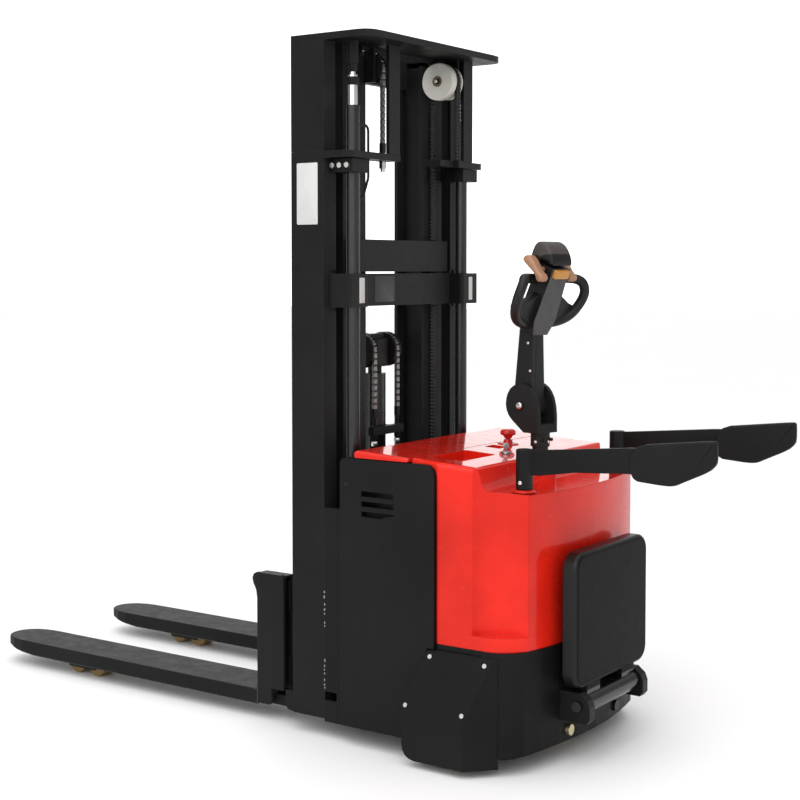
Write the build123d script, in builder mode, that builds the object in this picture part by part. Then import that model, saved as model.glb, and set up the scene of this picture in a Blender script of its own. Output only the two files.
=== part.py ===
from build123d import *
import os
import math

# Electric stacker with a three-stage mast, millimetres.
# +X towards the fork tips, +Y to the machine's left, +Z up, floor at Z = 0.
# All x values below are measured from the rear plane of the outer mast and
# shifted by XM, so that the whole machine is centred on the origin.

os.makedirs("parts", exist_ok=True)

# ---------------------------------------------------------------- dimensions
XM = -149.5            # X of the outer mast's rear plane

# mast
MAST_HALF = 378.0      # half width over the outer rails
RAIL_D = 122.0         # rail depth along X
OUT_Z0, OUT_Z1 = 60.0, 1744.0
PLATE_T = 20.0         # thickness of the mast plates
TOP_Z = 2112.0         # top of the mast, lowered
MID_Z0 = 72.0          # foot of the middle and inner rails
CYL_X, CYL_Y = -52.0, 300.0
CYL_R, ROD_R = 21.0, 15.0
HOSE_PX, HOSE_PR = -57.0, 49.0     # hose pulley's axis and the hose's bend radius
HOSE_R = 11.5

# forks and legs
FORK_IN, FORK_OUT = 172.0, 342.0
FORK_TOP, FORK_BOT = 92.0, 45.0
FORK_HEEL, FORK_TIP = 294.0, 1512.0
LEG_IN, LEG_OUT = 198.0, 316.0
LOAD_X = (1065.0, 1161.0)
LOAD_R = 39.0

# body
PANEL_Y = 400.0
PANEL_TOP = 858.0
HOOD_Z0 = 348.0
DECK_F, DECK_R = 884.0, 858.0      # deck height at the lid's front and the hood's rear step
DECK_XF, DECK_XR = -120.0, -552.0
SEAM_X = -318.0
LOW_DECK = 790.0
KEY_X, KEY_Y = -458.0, 84.0        # key switch
COL_X = -527.0                     # steering axis
POST_X, POST_Y = -639.0, 288.0
PLAT_HINGE_X, PLAT_HINGE_Z = -757.0, 176.0
TILT_X, TILT_Z = -485.0, 1005.0
STEER = -12.0                      # steering angle at rest, degrees about +Z


# ------------------------------------------------------------------- helpers
def bx(x0, x1, y0, y1, z0, z1, mode=Mode.ADD):
    """Box between two corners (x from the mast's rear plane)."""
    with Locations(((x0 + x1) / 2 + XM, (y0 + y1) / 2, (z0 + z1) / 2)):
        return Box(x1 - x0, y1 - y0, z1 - z0, mode=mode)


def cz(x, y, z0, z1, r, mode=Mode.ADD):
    """Cylinder along Z."""
    with Locations((x + XM, y, (z0 + z1) / 2)):
        return Cylinder(r, z1 - z0, mode=mode)


def cy(x, z, y0, y1, r, mode=Mode.ADD):
    """Cylinder along Y."""
    with Locations(Location((x + XM, (y0 + y1) / 2, z), (90, 0, 0))):
        return Cylinder(r, y1 - y0, mode=mode)


def cx(y, z, x0, x1, r, mode=Mode.ADD):
    """Cylinder along X."""
    with Locations(Location(((x0 + x1) / 2 + XM, y, z), (0, 90, 0))):
        return Cylinder(r, x1 - x0, mode=mode)


def plan(points, z0, z1, mode=Mode.ADD):
    """Prism on a plan outline (x, y)."""
    with BuildSketch(Plane.XY.offset(z0)) as sk:
        with BuildLine():
            Polyline(*[(x + XM, y) for x, y in points], close=True)
        make_face()
    return extrude(sk.sketch, amount=z1 - z0, mode=mode)


def side(points, y0, y1, mode=Mode.ADD):
    """Prism on a side outline (x, z), from y0 to y1."""
    with BuildSketch(Plane(origin=(0, y0, 0), x_dir=(1, 0, 0), z_dir=(0, -1, 0))) as sk:
        with BuildLine():
            Polyline(*[(x + XM, z) for x, z in points], close=True)
        make_face()
    return extrude(sk.sketch, amount=-(y1 - y0), mode=mode)


def front(points, x0, x1, mode=Mode.ADD):
    """Prism on a front outline (y, z), from x0 to x1."""
    with BuildSketch(Plane(origin=(x0 + XM, 0, 0), x_dir=(0, 1, 0), z_dir=(1, 0, 0))) as sk:
        with BuildLine():
            Polyline(*points, close=True)
        make_face()
    return extrude(sk.sketch, amount=x1 - x0, mode=mode)


def put(builder, name):
    builder.part.label = name
    export_step(builder.part, "parts/" + name + ".step")


def put_turned(builder, name):
    """Hand over a piece of the steering, turned about the column."""
    turned = builder.part.rotate(Axis((COL_X + XM, 0, 0), (0, 0, 1)), STEER)
    turned.label = name
    export_step(turned, "parts/" + name + ".step")


def deck_z(x):
    """Height of the sloping hood deck."""
    return DECK_R + (DECK_F - DECK_R) * (x - DECK_XR) / (DECK_XF - DECK_XR)


# ================================================================ outer mast
with BuildPart() as outer_mast:
    for s in (1, -1):
        a, b = sorted((s * 366.0, s * MAST_HALF))
        bx(0, RAIL_D, a, b, OUT_Z0, OUT_Z1)
        a, b = sorted((s * 316.0, s * 367.0))
        bx(0, 12, a, b, OUT_Z0, OUT_Z1)
        bx(RAIL_D - 12, RAIL_D, a, b, OUT_Z0, OUT_Z1)
        # top plate with the cylinder's seat and a rounded rear corner
        pts = [(RAIL_D, s * MAST_HALF), (-70, s * MAST_HALF), (-84, s * 374), (-92, s * 364),
               (-95, s * 350), (-95, s * 112), (-34, s * 112), (-34, s * 262), (0, s * 262),
               (0, s * 316), (RAIL_D, s * 316)]
        plan(pts, OUT_Z1, OUT_Z1 + PLATE_T)
        cz(CYL_X, s * CYL_Y, OUT_Z1 - 5, OUT_Z1 + 30, CYL_R + 0.5, Mode.SUBTRACT)
    # the lift chain's anchor hole
    cz(-50, 144, OUT_Z1 - 5, OUT_Z1 + 30, 7.0, Mode.SUBTRACT)
    cz(CYL_X, 222, OUT_Z1 - 5, OUT_Z1 + 30, 7.0, Mode.SUBTRACT)
    # hose clip on the right plate's rear edge
    bx(-120, -94, -207, -183, OUT_Z1, OUT_Z1 + PLATE_T)
    # foot plate that ties the rails together
    bx(0, RAIL_D, -MAST_HALF, MAST_HALF, 58, 68)
    for s in (1, -1):
        a, b = sorted((s * 322.0, s * MAST_HALF))
        side([(121, 61), (136, 61), (145, 66), (150, 76), (150, 122), (121, 122)], a, b)
    # crossbeam: recessed middle and two boxes round the cylinders
    bx(-30, -20, -263, 263, 1300, 1400)
    for s in (1, -1):
        a, b = sorted((s * 262.0, s * 360.0))
        bx(-84, 0, a, b, 1300, 1400)
        a, b = sorted((s * 270.0, s * 338.0))
        bx(-76, 4, a, b, 1290, 1410, Mode.SUBTRACT)
    fillet(outer_mast.edges().filter_by(Axis.Z).filter_by_position(Axis.Z, 1340, 1360)
           .filter_by_position(Axis.X, XM - 84.5, XM - 83.5), 12)
put(outer_mast, "outer_mast")

# =============================================================== base frame
SKIRT = [(-560, 392), (-600, 390), (-628, 384), (-650, 366), (-668, 336), (-684, 270), (-700, 190),
         (-712, 100), (-717, 0)]
SKIRT_FULL = SKIRT + [(x, -y) for x, y in reversed(SKIRT[:-1])]


def inset(points, d, cxx=-500.0):
    """Outline moved inwards by d."""
    out = []
    for x, y in points:
        out.append((x + d if x < -560.5 else x, y - d if y > d else (y + d if y < -d else y)))
    return out


with BuildPart() as base_frame:
    # floor pan and side plates behind the mast
    bx(-320, 0, -378, 378, 50, 58)
    for s in (1, -1):
        a, b = sorted((s * 366.0, s * 378.0))
        bx(-320, 0, a, b, 57, 700)
        bx(-46, -2, a - 5, b + 5, 116, 142, Mode.SUBTRACT)
        # inner walls beside the casters
        a, b = sorted((s * 284.0, s * 292.0))
        bx(-562, -319, a, b, 50, HOOD_Z0)
        # caster shelf
        a, b = sorted((s * 290.0, s * 440.0))
        bx(-536, -344, a, b, 142, 150)
        cz(-437, s * 372.0, 135, 160, 10.05, Mode.SUBTRACT)
        # walls that close the caster bay
        a, b = sorted((s * 284.0, s * 378.0))
        bx(-326, -318, a, b, 50, HOOD_Z0)
        a, b = sorted((s * 284.0, s * 392.0))
        bx(-562, -556, a, b, 50, HOOD_Z0)
        a, b = sorted((s * 378.0, s * 389.0))
        bx(-560, -410.5, a, b, 333, HOOD_Z0)
    # bumper skirt with a curved rear
    plan(SKIRT_FULL, 50, HOOD_Z0)
    plan([(-562.5, 384)] + inset(SKIRT_FULL[1:-1], 9) + [(-562.5, -384)], 40, HOOD_Z0 - 8, Mode.SUBTRACT)
    bx(-568, -550, -283, 283, 40, 329.9, Mode.SUBTRACT)
    side([(-620, 48), (-760, 48), (-760, 68)], -420, 420, Mode.SUBTRACT)
    # carrier plate for the drive unit, tied to the caster walls
    bx(-645, -320, -288, 288, 330, 340)
    cz(COL_X, 0, 320, 360, 112.0, Mode.SUBTRACT)
    # ledge in front of the lid
    bx(-128, -78, -378, 378, 848, 855)
    bx(-88, -78, -378, 378, 690, 849)
    # tank shelf in front of the drive unit
    bx(-326, -318, -284, 284, 50, 338)
put(base_frame, "base_frame")

# ============================================================ straddle legs
with BuildPart() as straddle_legs:
    for s in (1, -1):
        a, b = sorted((s * LEG_IN, s * (LEG_IN + 10)))
        c, d = sorted((s * (LEG_OUT - 10), s * LEG_OUT))
        leg = [(RAIL_D, 47), (1040, 47), (1052, 28), (1174, 28), (1186, 47), (1236, 47), (1236, 80), (RAIL_D, 80)]
        side(leg, a, b)
        side(leg, c, d)
        e, f = sorted((s * LEG_IN, s * LEG_OUT))
        bx(RAIL_D, 1015, e, f, 72, 80)
        bx(1222, 1236, e, f, 47, 80)
        bx(RAIL_D, RAIL_D + 12, e, f, 47, 80)
        # axles pressed into the side plates
        for x in LOAD_X:
            cy(x, LOAD_R, e, f, 8.0)
put(straddle_legs, "straddle_legs")

# tandem load wheels: tyre on a hub with a plain bore
for s, sn in ((1, "left"), (-1, "right")):
    for x, xn in zip(LOAD_X, ("rear", "front")):
        with BuildPart() as load_wheel:
            e, f = sorted((s * 222.0, s * 292.0))
            cy(x, LOAD_R, e, f, LOAD_R)
            chamfer(load_wheel.edges().filter_by(GeomType.CIRCLE), 3)
            cy(x, LOAD_R, e - 5, f + 5, 8.06, Mode.SUBTRACT)
        put(load_wheel, "load_wheel_" + xn + "_" + sn)

# ============================================================== middle mast
with BuildPart() as middle_mast:
    for s in (1, -1):
        a, b = sorted((s * 262.0, s * 272.0))
        bx(6, 116, a, b, MID_Z0, TOP_Z - PLATE_T)
        a, b = sorted((s * 210.0, s * 263.0))
        bx(6, 18, a, b, MID_Z0, TOP_Z - PLATE_T)
        bx(104, 116, a, b, MID_Z0, TOP_Z - PLATE_T)
        # spacer blocks for the crossbeam
        a, b = sorted((s * 225.0, s * 255.0))
        bx(-21, 7, a, b, 1406, 1505)
    bx(-28, -20, -255, 255, 1406, 1505)
    # bottom tie
    bx(-8, 2, -258, 258, 80, 180)
    for s in (1, -1):
        a, b = sorted((s * 215.0, s * 258.0))
        bx(1, 7, a, b, 80, 180)
put(middle_mast, "middle_mast")

# rollers of the middle mast, on stub axles in the outer rails
with BuildPart() as middle_rollers:
    for s in (1, -1):
        for z in (130, 370):
            a, b = sorted((s * 272.0, s * 323.0))
            cy(61, z, a, b, 15)
            a, b = sorted((s * 322.0, s * 358.0))
            cy(61, z, a, b, 48.2)
put(middle_rollers, "middle_rollers")

# head of the middle mast: U-shaped top plate, cheeks, rear posts, rod caps
with BuildPart() as mast_head:
    half = [(122, 206), (122, 378), (-128, 378), (-148, 372), (-162, 358), (-168, 338), (-170, 310)]
    pts = half + [(x, -y) for x, y in reversed(half)] + [(-14, -206), (-14, 206)]
    plan(pts, TOP_Z - PLATE_T, TOP_Z)
    for s in (1, -1):
        a, b = sorted((s * 366.0, s * 378.0))
        bx(0, 122, a, b, 1764.6, TOP_Z - PLATE_T)
        a, b = sorted((s * 318.0, s * 378.0))
        bx(0, 12, a, b, 1764.6, TOP_Z - PLATE_T)
        # rod cap with a locking collar
        cz(CYL_X, s * CYL_Y, 2026, TOP_Z - PLATE_T, 17)
    bx(-95, -83, 115, 172, 1764.6, TOP_Z - PLATE_T)
    bx(-95, -83, -304, -251, 1764.6, TOP_Z - PLATE_T)
    # flange along the plate's cut-out
    bx(-20, -14, -206, 206, 2079, TOP_Z - PLATE_T + 1)
    # pulley hangers
    bx(-36, 2, 160, 170, 1985, TOP_Z - PLATE_T)
    bx(-83, -31, -242, -232, 1970, TOP_Z - PLATE_T)
    # pulley axles
    cy(-10, 2030, 120, 161, 10)
    cy(HOSE_PX, 2018, -233, -142, 9)
put(mast_head, "mast_head")

with BuildPart() as lift_rods:
    for s in (1, -1):
        cz(CYL_X, s * CYL_Y, 130, 1992, ROD_R)
        cz(CYL_X, s * CYL_Y, 1990, 2026, 9)
        cz(CYL_X, s * CYL_Y, 120, 150, 16.9)
put(lift_rods, "lift_rods")

with BuildPart() as lift_barrels:
    for s in (1, -1):
        cz(CYL_X, s * CYL_Y, 58, 1902, CYL_R)
        cz(CYL_X, s * CYL_Y, 78, 1870, 17.0, Mode.SUBTRACT)
        cz(CYL_X, s * CYL_Y, 1800, 1950, ROD_R + 0.06, Mode.SUBTRACT)
put(lift_barrels, "lift_barrels")

# chain pulley and hose pulley on the mast head
with BuildPart() as chain_pulley:
    cy(-10, 2030, 131, 154, 46)
    with BuildSketch(Plane(origin=(XM - 10, 144, 2030), x_dir=(1, 0, 0), z_dir=(0, -1, 0))) as ring:
        Circle(60)
        Circle(33.4, mode=Mode.SUBTRACT)
    extrude(ring.sketch, amount=9, both=True, mode=Mode.SUBTRACT)
    cy(-10, 2030, 120, 170, 10.06, Mode.SUBTRACT)
put(chain_pulley, "chain_pulley")

with BuildPart() as hose_pulley:
    cy(HOSE_PX, 2018, -178, -150, 60)
    fillet(hose_pulley.edges().filter_by(GeomType.CIRCLE), 5)
    cy(HOSE_PX, 2018, -212, -177, HOSE_PR - HOSE_R - 0.4)
    cy(HOSE_PX, 2018, -220, -212, 54)
    cy(HOSE_PX, 2018, -230, -140, 9.06, Mode.SUBTRACT)
put(hose_pulley, "hose_pulley")

# lift chain: rear run, arc over the pulley, front run
with BuildPart() as lift_chain_rear:
    bx(-56.3, -43.7, 136, 152, 1800, 2030)
put(lift_chain_rear, "lift_chain_rear")

with BuildPart() as lift_chain_top:
    with BuildSketch(Plane(origin=(XM - 10, 136, 2030), x_dir=(1, 0, 0), z_dir=(0, -1, 0))) as arc:
        Circle(46.3)
        Circle(33.7, mode=Mode.SUBTRACT)
        with Locations((0, -50)):
            Rectangle(120, 100, mode=Mode.SUBTRACT)
    extrude(arc.sketch, amount=-16)
put(lift_chain_top, "lift_chain_top")

with BuildPart() as lift_chain_front:
    bx(23.7, 36.3, 136, 152, 318, 2030)
put(lift_chain_front, "lift_chain_front")

# guarded hose: rear run, arc over the pulley, front run
with BuildPart() as hose_rear:
    cz(HOSE_PX - HOSE_PR, -195, 1764, 2018, HOSE_R)
put(hose_rear, "hose_rear")

with BuildPart() as hose_top:
    with BuildSketch(Plane.XY.offset(2018)) as hs:
        with Locations((XM + HOSE_PX + HOSE_PR, -195)):
            Circle(HOSE_R)
    revolve(hs.sketch, axis=Axis((XM + HOSE_PX, -195, 2018), (0, -1, 0)), revolution_arc=180)
put(hose_top, "hose_top")

with BuildPart() as hose_front:
    cz(HOSE_PX + HOSE_PR, -195, 300, 2018, HOSE_R)
put(hose_front, "hose_front")

# ================================================================ inner mast
with BuildPart() as inner_mast:
    for s in (1, -1):
        a, b = sorted((s * 192.0, s * 202.0))
        bx(6, 116, a, b, MID_Z0, 2072)
        a, b = sorted((s * 156.0, s * 193.0))
        bx(6, 18, a, b, MID_Z0, 2072)
        bx(104, 116, a, b, MID_Z0, 2072)
        # bottom plate joins the rails under the cylinder
    bx(20, 112, -192, 192, MID_Z0, 84)
    # top tie at the front of the rails
    bx(92, 116, -196, 196, 2004, 2104)
    # lug for the lift chain and the hose's end block
    bx(6, 42, 134, 157, 288, 318)
    bx(-17, 8, -204, -186, 270, 300)
put(inner_mast, "inner_mast")

with BuildPart() as inner_rollers:
    for s in (1, -1):
        for z in (140, 400):
            a, b = sorted((s * 202.0, s * 217.0))
            cy(61, z, a, b, 15)
            a, b = sorted((s * 216.0, s * 256.0))
            cy(61, z, a, b, 42.2)
put(inner_rollers, "inner_rollers")

# free-lift cylinder
FL_X = 84.0
with BuildPart() as free_lift_barrel:
    cz(FL_X, 0, 84, 1080, 35)
    cz(FL_X, 0, 100, 1050, 27, Mode.SUBTRACT)
    cz(FL_X, 0, 1000, 1090, 22.06, Mode.SUBTRACT)
put(free_lift_barrel, "free_lift_barrel")

# chain anchor bar on the barrel with two threaded rods and nuts
with BuildPart() as chain_anchors:
    bx(28, 49, -84, 84, 886, 912)
    bx(47, 84, -34, 34, 886, 912)
    cz(FL_X, 0, 880, 920, 35, Mode.SUBTRACT)
    for s in (1, -1):
        cz(40, s * 62.5, 850, 968, 6)
        with BuildSketch(Plane.XY.offset(872)) as nut:
            with Locations((XM + 40, s * 62.5)):
                RegularPolygon(11, 6)
        extrude(nut.sketch, amount=14)
        bx(34, 46, s * 62.5 - 8, s * 62.5 + 8, 940, 970)
put(chain_anchors, "chain_anchors")

# ram with the crosshead and its two pulleys
with BuildPart() as crosshead:
    cz(FL_X, 0, 110, 1110, 22)
    cz(FL_X, 0, 110, 140, 26.9)
    bx(58, 110, -40, 40, 1105, 1190)
    bx(70, 98, -30, 30, 1188, 1206)
    fillet(crosshead.edges().filter_by(Axis.Z).filter_by_position(Axis.Z, 1140, 1160), 8)
    cy(90, 1154, -84, 84, 10)
    for s in (1, -1):
        a, b = sorted((s * 82.0, s * 88.0))
        cy(90, 1154, a, b, 18)
put(crosshead, "crosshead")

with BuildPart() as crosshead_pulleys:
    for s in (1, -1):
        y = s * 62.5
        cy(90, 1154, y - 17, y + 17, 56)
        with BuildSketch(Plane(origin=(XM + 90, y, 1154), x_dir=(1, 0, 0), z_dir=(0, -1, 0))) as ring:
            Circle(70)
            Circle(43.4, mode=Mode.SUBTRACT)
        extrude(ring.sketch, amount=9.5, both=True, mode=Mode.SUBTRACT)
        cy(90, 1154, y - 20, y + 20, 10.06, Mode.SUBTRACT)
put(crosshead_pulleys, "crosshead_pulleys")

with BuildPart() as free_chain_rear:
    for s in (1, -1):
        bx(33.7, 46.3, s * 62.5 - 8, s * 62.5 + 8, 970, 1154)
put(free_chain_rear, "free_chain_rear")

with BuildPart() as free_chain_top:
    for s in (1, -1):
        with BuildSketch(Plane(origin=(XM + 90, s * 62.5 - 8, 1154), x_dir=(1, 0, 0), z_dir=(0, -1, 0))) as arc:
            Circle(56.3)
            Circle(43.7, mode=Mode.SUBTRACT)
            with Locations((0, -50)):
                Rectangle(140, 100, mode=Mode.SUBTRACT)
        extrude(arc.sketch, amount=-16)
put(free_chain_top, "free_chain_top")

with BuildPart() as free_chain_front:
    for s in (1, -1):
        bx(133.7, 146.3, s * 62.5 - 8, s * 62.5 + 8, 330, 1154)
put(free_chain_front, "free_chain_front")

# ============================================================ fork carriage
with BuildPart() as carriage:
    for s in (1, -1):
        # fork post: outer plate with a rounded lobe at the top front and a foot beside the fork
        a, b = sorted((s * 330.0, s * FORK_OUT))
        side([(188, 103), (188, 456), (196, 464), (296, 464), (308, 457), (313, 444), (309, 428), (298, 408),
              (FORK_HEEL, 384), (FORK_HEEL, 50), (246, 50), (238, 58), (238, 103)], a, b)
        c, d = sorted((s * (FORK_OUT - 1), s * (FORK_OUT + 2)))
        cy(291, 442, c, d, 14)
        # inner plate and cap of the post
        c, d = sorted((s * 294.0, s * 304.0))
        bx(188, FORK_HEEL, c, d, 103, 462)
        c, d = sorted((s * 294.0, s * 331.0))
        bx(188, FORK_HEEL, c, d, 454, 462)
        # roller bracket beside the inner rail
        a, b = sorted((s * 116.0, s * 130.0))
        bx(30, 190, a, b, 110, 450)
        # fork heel plate
        a, b = sorted((s * 174.0, s * 331.0))
        bx(278, FORK_HEEL, a, b, 92, 400)
    # cross plates
    bx(188, 204, -310, 310, 110, 200)
    bx(188, 204, -310, 310, 350, 440)
    for s in (1, -1):
        a, b = sorted((s * 174.0, s * 186.0))
        bx(202, 280, a, b, 110, 400)
        # chain anchor lug
        bx(128, 190, s * 62.5 - 14, s * 62.5 + 14, 300, 330)
    bx(176, 204, -90, 90, 296, 360)
    # guide rollers on stub axles in the inner rails
    for s in (1, -1):
        for z in (160, 400):
            a, b = sorted((s * 130.0, s * 157.0))
            cy(61, z, a, b, 14)
            a, b = sorted((s * 157.0, s * 187.0))
            cy(61, z, a, b, 42.2)
put(carriage, "carriage")

# forks: inverted channels that come down over the legs, nose rounded
with BuildPart() as forks:
    for s in (1, -1):
        ym = s * (FORK_IN + FORK_OUT) / 2
        hw = (FORK_OUT - FORK_IN) / 2
        nose = FORK_TIP - 118
        pts = [(240, ym - hw), (nose, ym - hw), (nose + 44, ym - hw + 6), (nose + 80, ym - hw + 20), (nose + 103, ym - hw + 41),
               (nose + 115, ym - 22), (FORK_TIP, ym)]
        pts = pts + [(x, 2 * ym - y) for x, y in reversed(pts[:-1])]
        plan(pts, FORK_BOT, FORK_TOP)
        # hollow underneath
        bx(230, nose - 58, ym - hw + 8, ym + hw - 8, 20, FORK_TOP - 8, Mode.SUBTRACT)
        # the underside sweeps up to the nose
        a, b = sorted((s * (FORK_IN - 5), s * (FORK_OUT + 5)))
        side([(nose - 60, 20), (nose - 60, FORK_BOT), (nose + 20, 53), (nose + 74, 64), (FORK_TIP + 8, 76), (FORK_TIP + 8, 20)],
             a, b, Mode.SUBTRACT)
        # the post's foot stands beside the heel
        a, b = sorted((s * 329.5, s * (FORK_OUT + 5)))
        bx(230, FORK_HEEL + 0.5, a, b, 20, 120, Mode.SUBTRACT)
    fillet(forks.edges().filter_by_position(Axis.Z, FORK_TOP - 0.1, FORK_TOP + 0.1)
           .filter_by_position(Axis.X, XM + FORK_HEEL + 1, XM + 1530), 4)
    # the heel under the posts is lower than the loading face
    bx(230, 308, -400, 400, FORK_TOP - 1, FORK_TOP + 20, Mode.SUBTRACT)
put(forks, "forks")


# ===================================================================== body
def curved(segs, z0, z1, mode=Mode.ADD):
    """Prism on the left half of a plan outline and its mirror image.
    segs: ("L", points) for straight runs, ("S", points) for smooth curves."""
    with BuildSketch(Plane.XY.offset(z0)) as sk:
        with BuildLine():
            for sgn in (1, -1):
                for kind, pts in segs:
                    q = [(x + XM, sgn * y) for x, y in pts]
                    if kind == "L":
                        Polyline(*q)
                    else:
                        Spline(*q)
            Line((segs[0][1][0][0] + XM, segs[0][1][0][1]), (segs[0][1][0][0] + XM, -segs[0][1][0][1]))
        make_face()
    return extrude(sk.sketch, amount=z1 - z0, mode=mode)


def shoulder(x0, x1, half, r):
    """Rounds the two side edges of the sloping deck between x0 and x1."""
    run = Vector(x1 - x0, 0, deck_z(x1) - deck_z(x0))
    for s in (1, -1):
        with BuildSketch(Plane(origin=(x0 + XM, 0, deck_z(x0)), x_dir=(0, s, 0), z_dir=run)) as sk:
            up = -1 if Plane(origin=(0, 0, 0), x_dir=(0, s, 0), z_dir=run).y_dir.Z < 0 else 1
            with BuildLine():
                Line((half - r, 0), (half - r, up * 12))
                Line((half - r, up * 12), (half + 20, up * 12))
                Line((half + 20, up * 12), (half + 20, up * -r))
                Line((half + 20, up * -r), (half, up * -r))
                ThreePointArc((half, up * -r), (half - r * 0.292893, up * -r * 0.292893), (half - r, 0))
            make_face()
        extrude(sk.sketch, amount=run.length, mode=Mode.SUBTRACT)


# rear hood: tall deck with a tray, low rear deck, scooped rear corners
with BuildPart() as hood:
    rear_low = [(-671, 318), (-684, 262), (-697, 180), (-706, 90), (-709, 0)]
    curved([("L", [(-322, 382), (-409, 382), (-412, 389), (-560, 389)]),
            ("S", [(-560, 389), (-604, 384), (-640, 362), (-671, 318)]),
            ("S", rear_low)], HOOD_Z0 + 0.2, 388)
    curved([("L", [(-322, 382), (-409, 382), (-412, 389), (-514, 389), (-528, 384)]),
            ("S", [(-528, 384), (-558, 351), (-604, 330), (-650, 322), (-671, 316)]),
            ("L", [(-671, 316), (-671, 318)]),
            ("S", rear_low)], 387, 900)
    # sloping tall deck and low rear deck
    side([(-322 + 40, deck_z(-322 + 40)), (-528, deck_z(-528)), (-533, deck_z(-528) - 2), (-537, deck_z(-528) - 6),
          (-548, LOW_DECK + 10), (-553, LOW_DECK + 4), (-562, LOW_DECK), (-760, LOW_DECK - 6), (-760, 940), (-282, 940)],
         -450, 450, Mode.SUBTRACT)
    # rounded shoulders along the deck's sides
    shoulder(-300, -560, 389, 22)
    # boss for the steering column
    cz(COL_X - 6, 0, LOW_DECK - 12, 852, 44)
    # hollow inside
    curved([("L", [(-300, 372), (-500, 372), (-545, 326), (-600, 300), (-650, 280), (-672, 180), (-684, 90), (-688, 0)])],
           HOOD_Z0 - 5, LOW_DECK - 26, Mode.SUBTRACT)
    curved([("L", [(-300, 366), (-490, 366), (-516, 320), (-527, 240), (-527, 0)])], LOW_DECK - 30, 824, Mode.SUBTRACT)
    # column hole, tray and gauge recess
    cz(COL_X, 0, 700, 900, 27.0, Mode.SUBTRACT)
    tray = [(-337, 128), (-337, 300), (-345, 310), (-438, 310), (-447, 301), (-447, 130), (-438, 120), (-345, 120)]
    plan(tray, deck_z(-447) - 20, 940, Mode.SUBTRACT)
    bx(-392, -338, -42, 14, deck_z(-392) - 17, 940, Mode.SUBTRACT)
    cz(-356, -100, 800, 900, 11.0, Mode.SUBTRACT)
    cz(KEY_X, KEY_Y, 800, 900, 9.0, Mode.SUBTRACT)
    for s in (1, -1):
        cz(POST_X, s * POST_Y, 330, 830, 16.0, Mode.SUBTRACT)
put(hood, "hood")

# battery lid, hinged on its rear upper edge
with BuildPart() as battery_lid:
    side([(DECK_XF, 861), (DECK_XF - 2, deck_z(DECK_XF) - 14), (DECK_XF - 7, deck_z(DECK_XF) - 7), (DECK_XF - 16, deck_z(DECK_XF) - 2),
          (DECK_XF - 30, deck_z(DECK_XF - 30)), (SEAM_X, deck_z(SEAM_X)), (SEAM_X, 861)], -PANEL_Y, PANEL_Y)
    shoulder(DECK_XF + 10, SEAM_X - 10, PANEL_Y, 13)
    # rounded front corners
    for s in (1, -1):
        plan([(DECK_XF + 4, s * 388), (DECK_XF - 3, s * 393), (DECK_XF - 10, s * 398), (DECK_XF - 18, s * 401), (DECK_XF - 18, s * 410),
              (DECK_XF + 4, s * 410)], 850, 900, Mode.SUBTRACT)
    # skirt rim is left round the hollow underside
    bx(SEAM_X + 6, DECK_XF - 14, -386, 386, 855, 864, Mode.SUBTRACT)
put(battery_lid, "battery_lid")

# side panels with louvres, notched for the caster covers
with BuildPart() as side_panels:
    for s in (1, -1):
        a, b = sorted((s * 384.0, s * PANEL_Y))
        side([(-76, 58), (-76, PANEL_TOP - 16), (-79, PANEL_TOP - 7), (-85, PANEL_TOP - 2), (-94, PANEL_TOP), (-380, PANEL_TOP), (-392, 855), (-402, 846), (-407, 832), (-409, 810),
              (-409, 334), (-385.2, 334), (-336, 182), (-336, 58)], a, b)
        for k in (-1, 0, 1):
            z = 727 + 30 * k
            bx(-270, -154, a - 5, b + 5, z - 8, z + 8, Mode.SUBTRACT)
        # distance blocks to the frame plate
        a, b = sorted((s * 378.0, s * 384.5))
        for z in (120, 620):
            bx(-120, -90, a, b, z, z + 60)
            bx(-310, -280, a, b, z, z + 60)
put(side_panels, "side_panels")

# caster covers: open-bottomed shells with a sloping top and a slanted rear
COVER_SCREWS = ((-349, 453.4, 176.4), (-538, 453.4, 176.4), (-400, 404.5, 312.5), (-582, 404.5, 312.5))


def cover_block(d, s):
    """Outline block of one cover, moved inwards by d."""
    front([(s * (296 - d), 22 - 3 * d), (s * (460 - d), 22 - 3 * d), (s * (460 - d), 158 - 0.2 * d), (s * (400 - d), 325 - 0.5 * d),
           (s * (392 - d), 332 - d), (s * (296 - d), 332 - d)], -650, -338 - d)
    e = 1.38 * d
    plan([(-544.4 + e, s * 461), (-645 + e, s * 355.3), (-750, s * 355.3), (-750, s * 480), (-544.4 + e, s * 480)], -50, 400,
         Mode.SUBTRACT)
    a, b = sorted((s * 280.0, s * 470.0))
    side([(-338 - d, 182), (-391.3 - d, 347), (-300, 347), (-300, 182)], a, b, Mode.SUBTRACT)
    side([(-338 - d, 66), (-341 - d, 49), (-349 - d, 35), (-362 - d, 26), (-380 - d, 22 - 3 * d), (-380 - d, -60), (-300, -60),
          (-300, 66)], a, b, Mode.SUBTRACT)


with BuildPart() as cover_rooms:
    for s in (1, -1):
        cover_block(4.0, s)

with BuildPart() as caster_covers:
    for s in (1, -1):
        cover_block(0.0, s)
    add(cover_rooms.part, mode=Mode.SUBTRACT)
    plan(SKIRT_FULL, -10, 400, Mode.SUBTRACT)
    for s in (1, -1):
        a, b = sorted((s * 280.0, s * 392.3))
        bx(-562.3, -555.7, a, b, 0, 400, Mode.SUBTRACT)
        for x, y, z in COVER_SCREWS:
            with Locations(Location((x + XM, s * y, z), (s * -70.24, 0, 0))):
                Cylinder(3.0, 40, mode=Mode.SUBTRACT)
put(caster_covers, "caster_covers")

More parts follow.
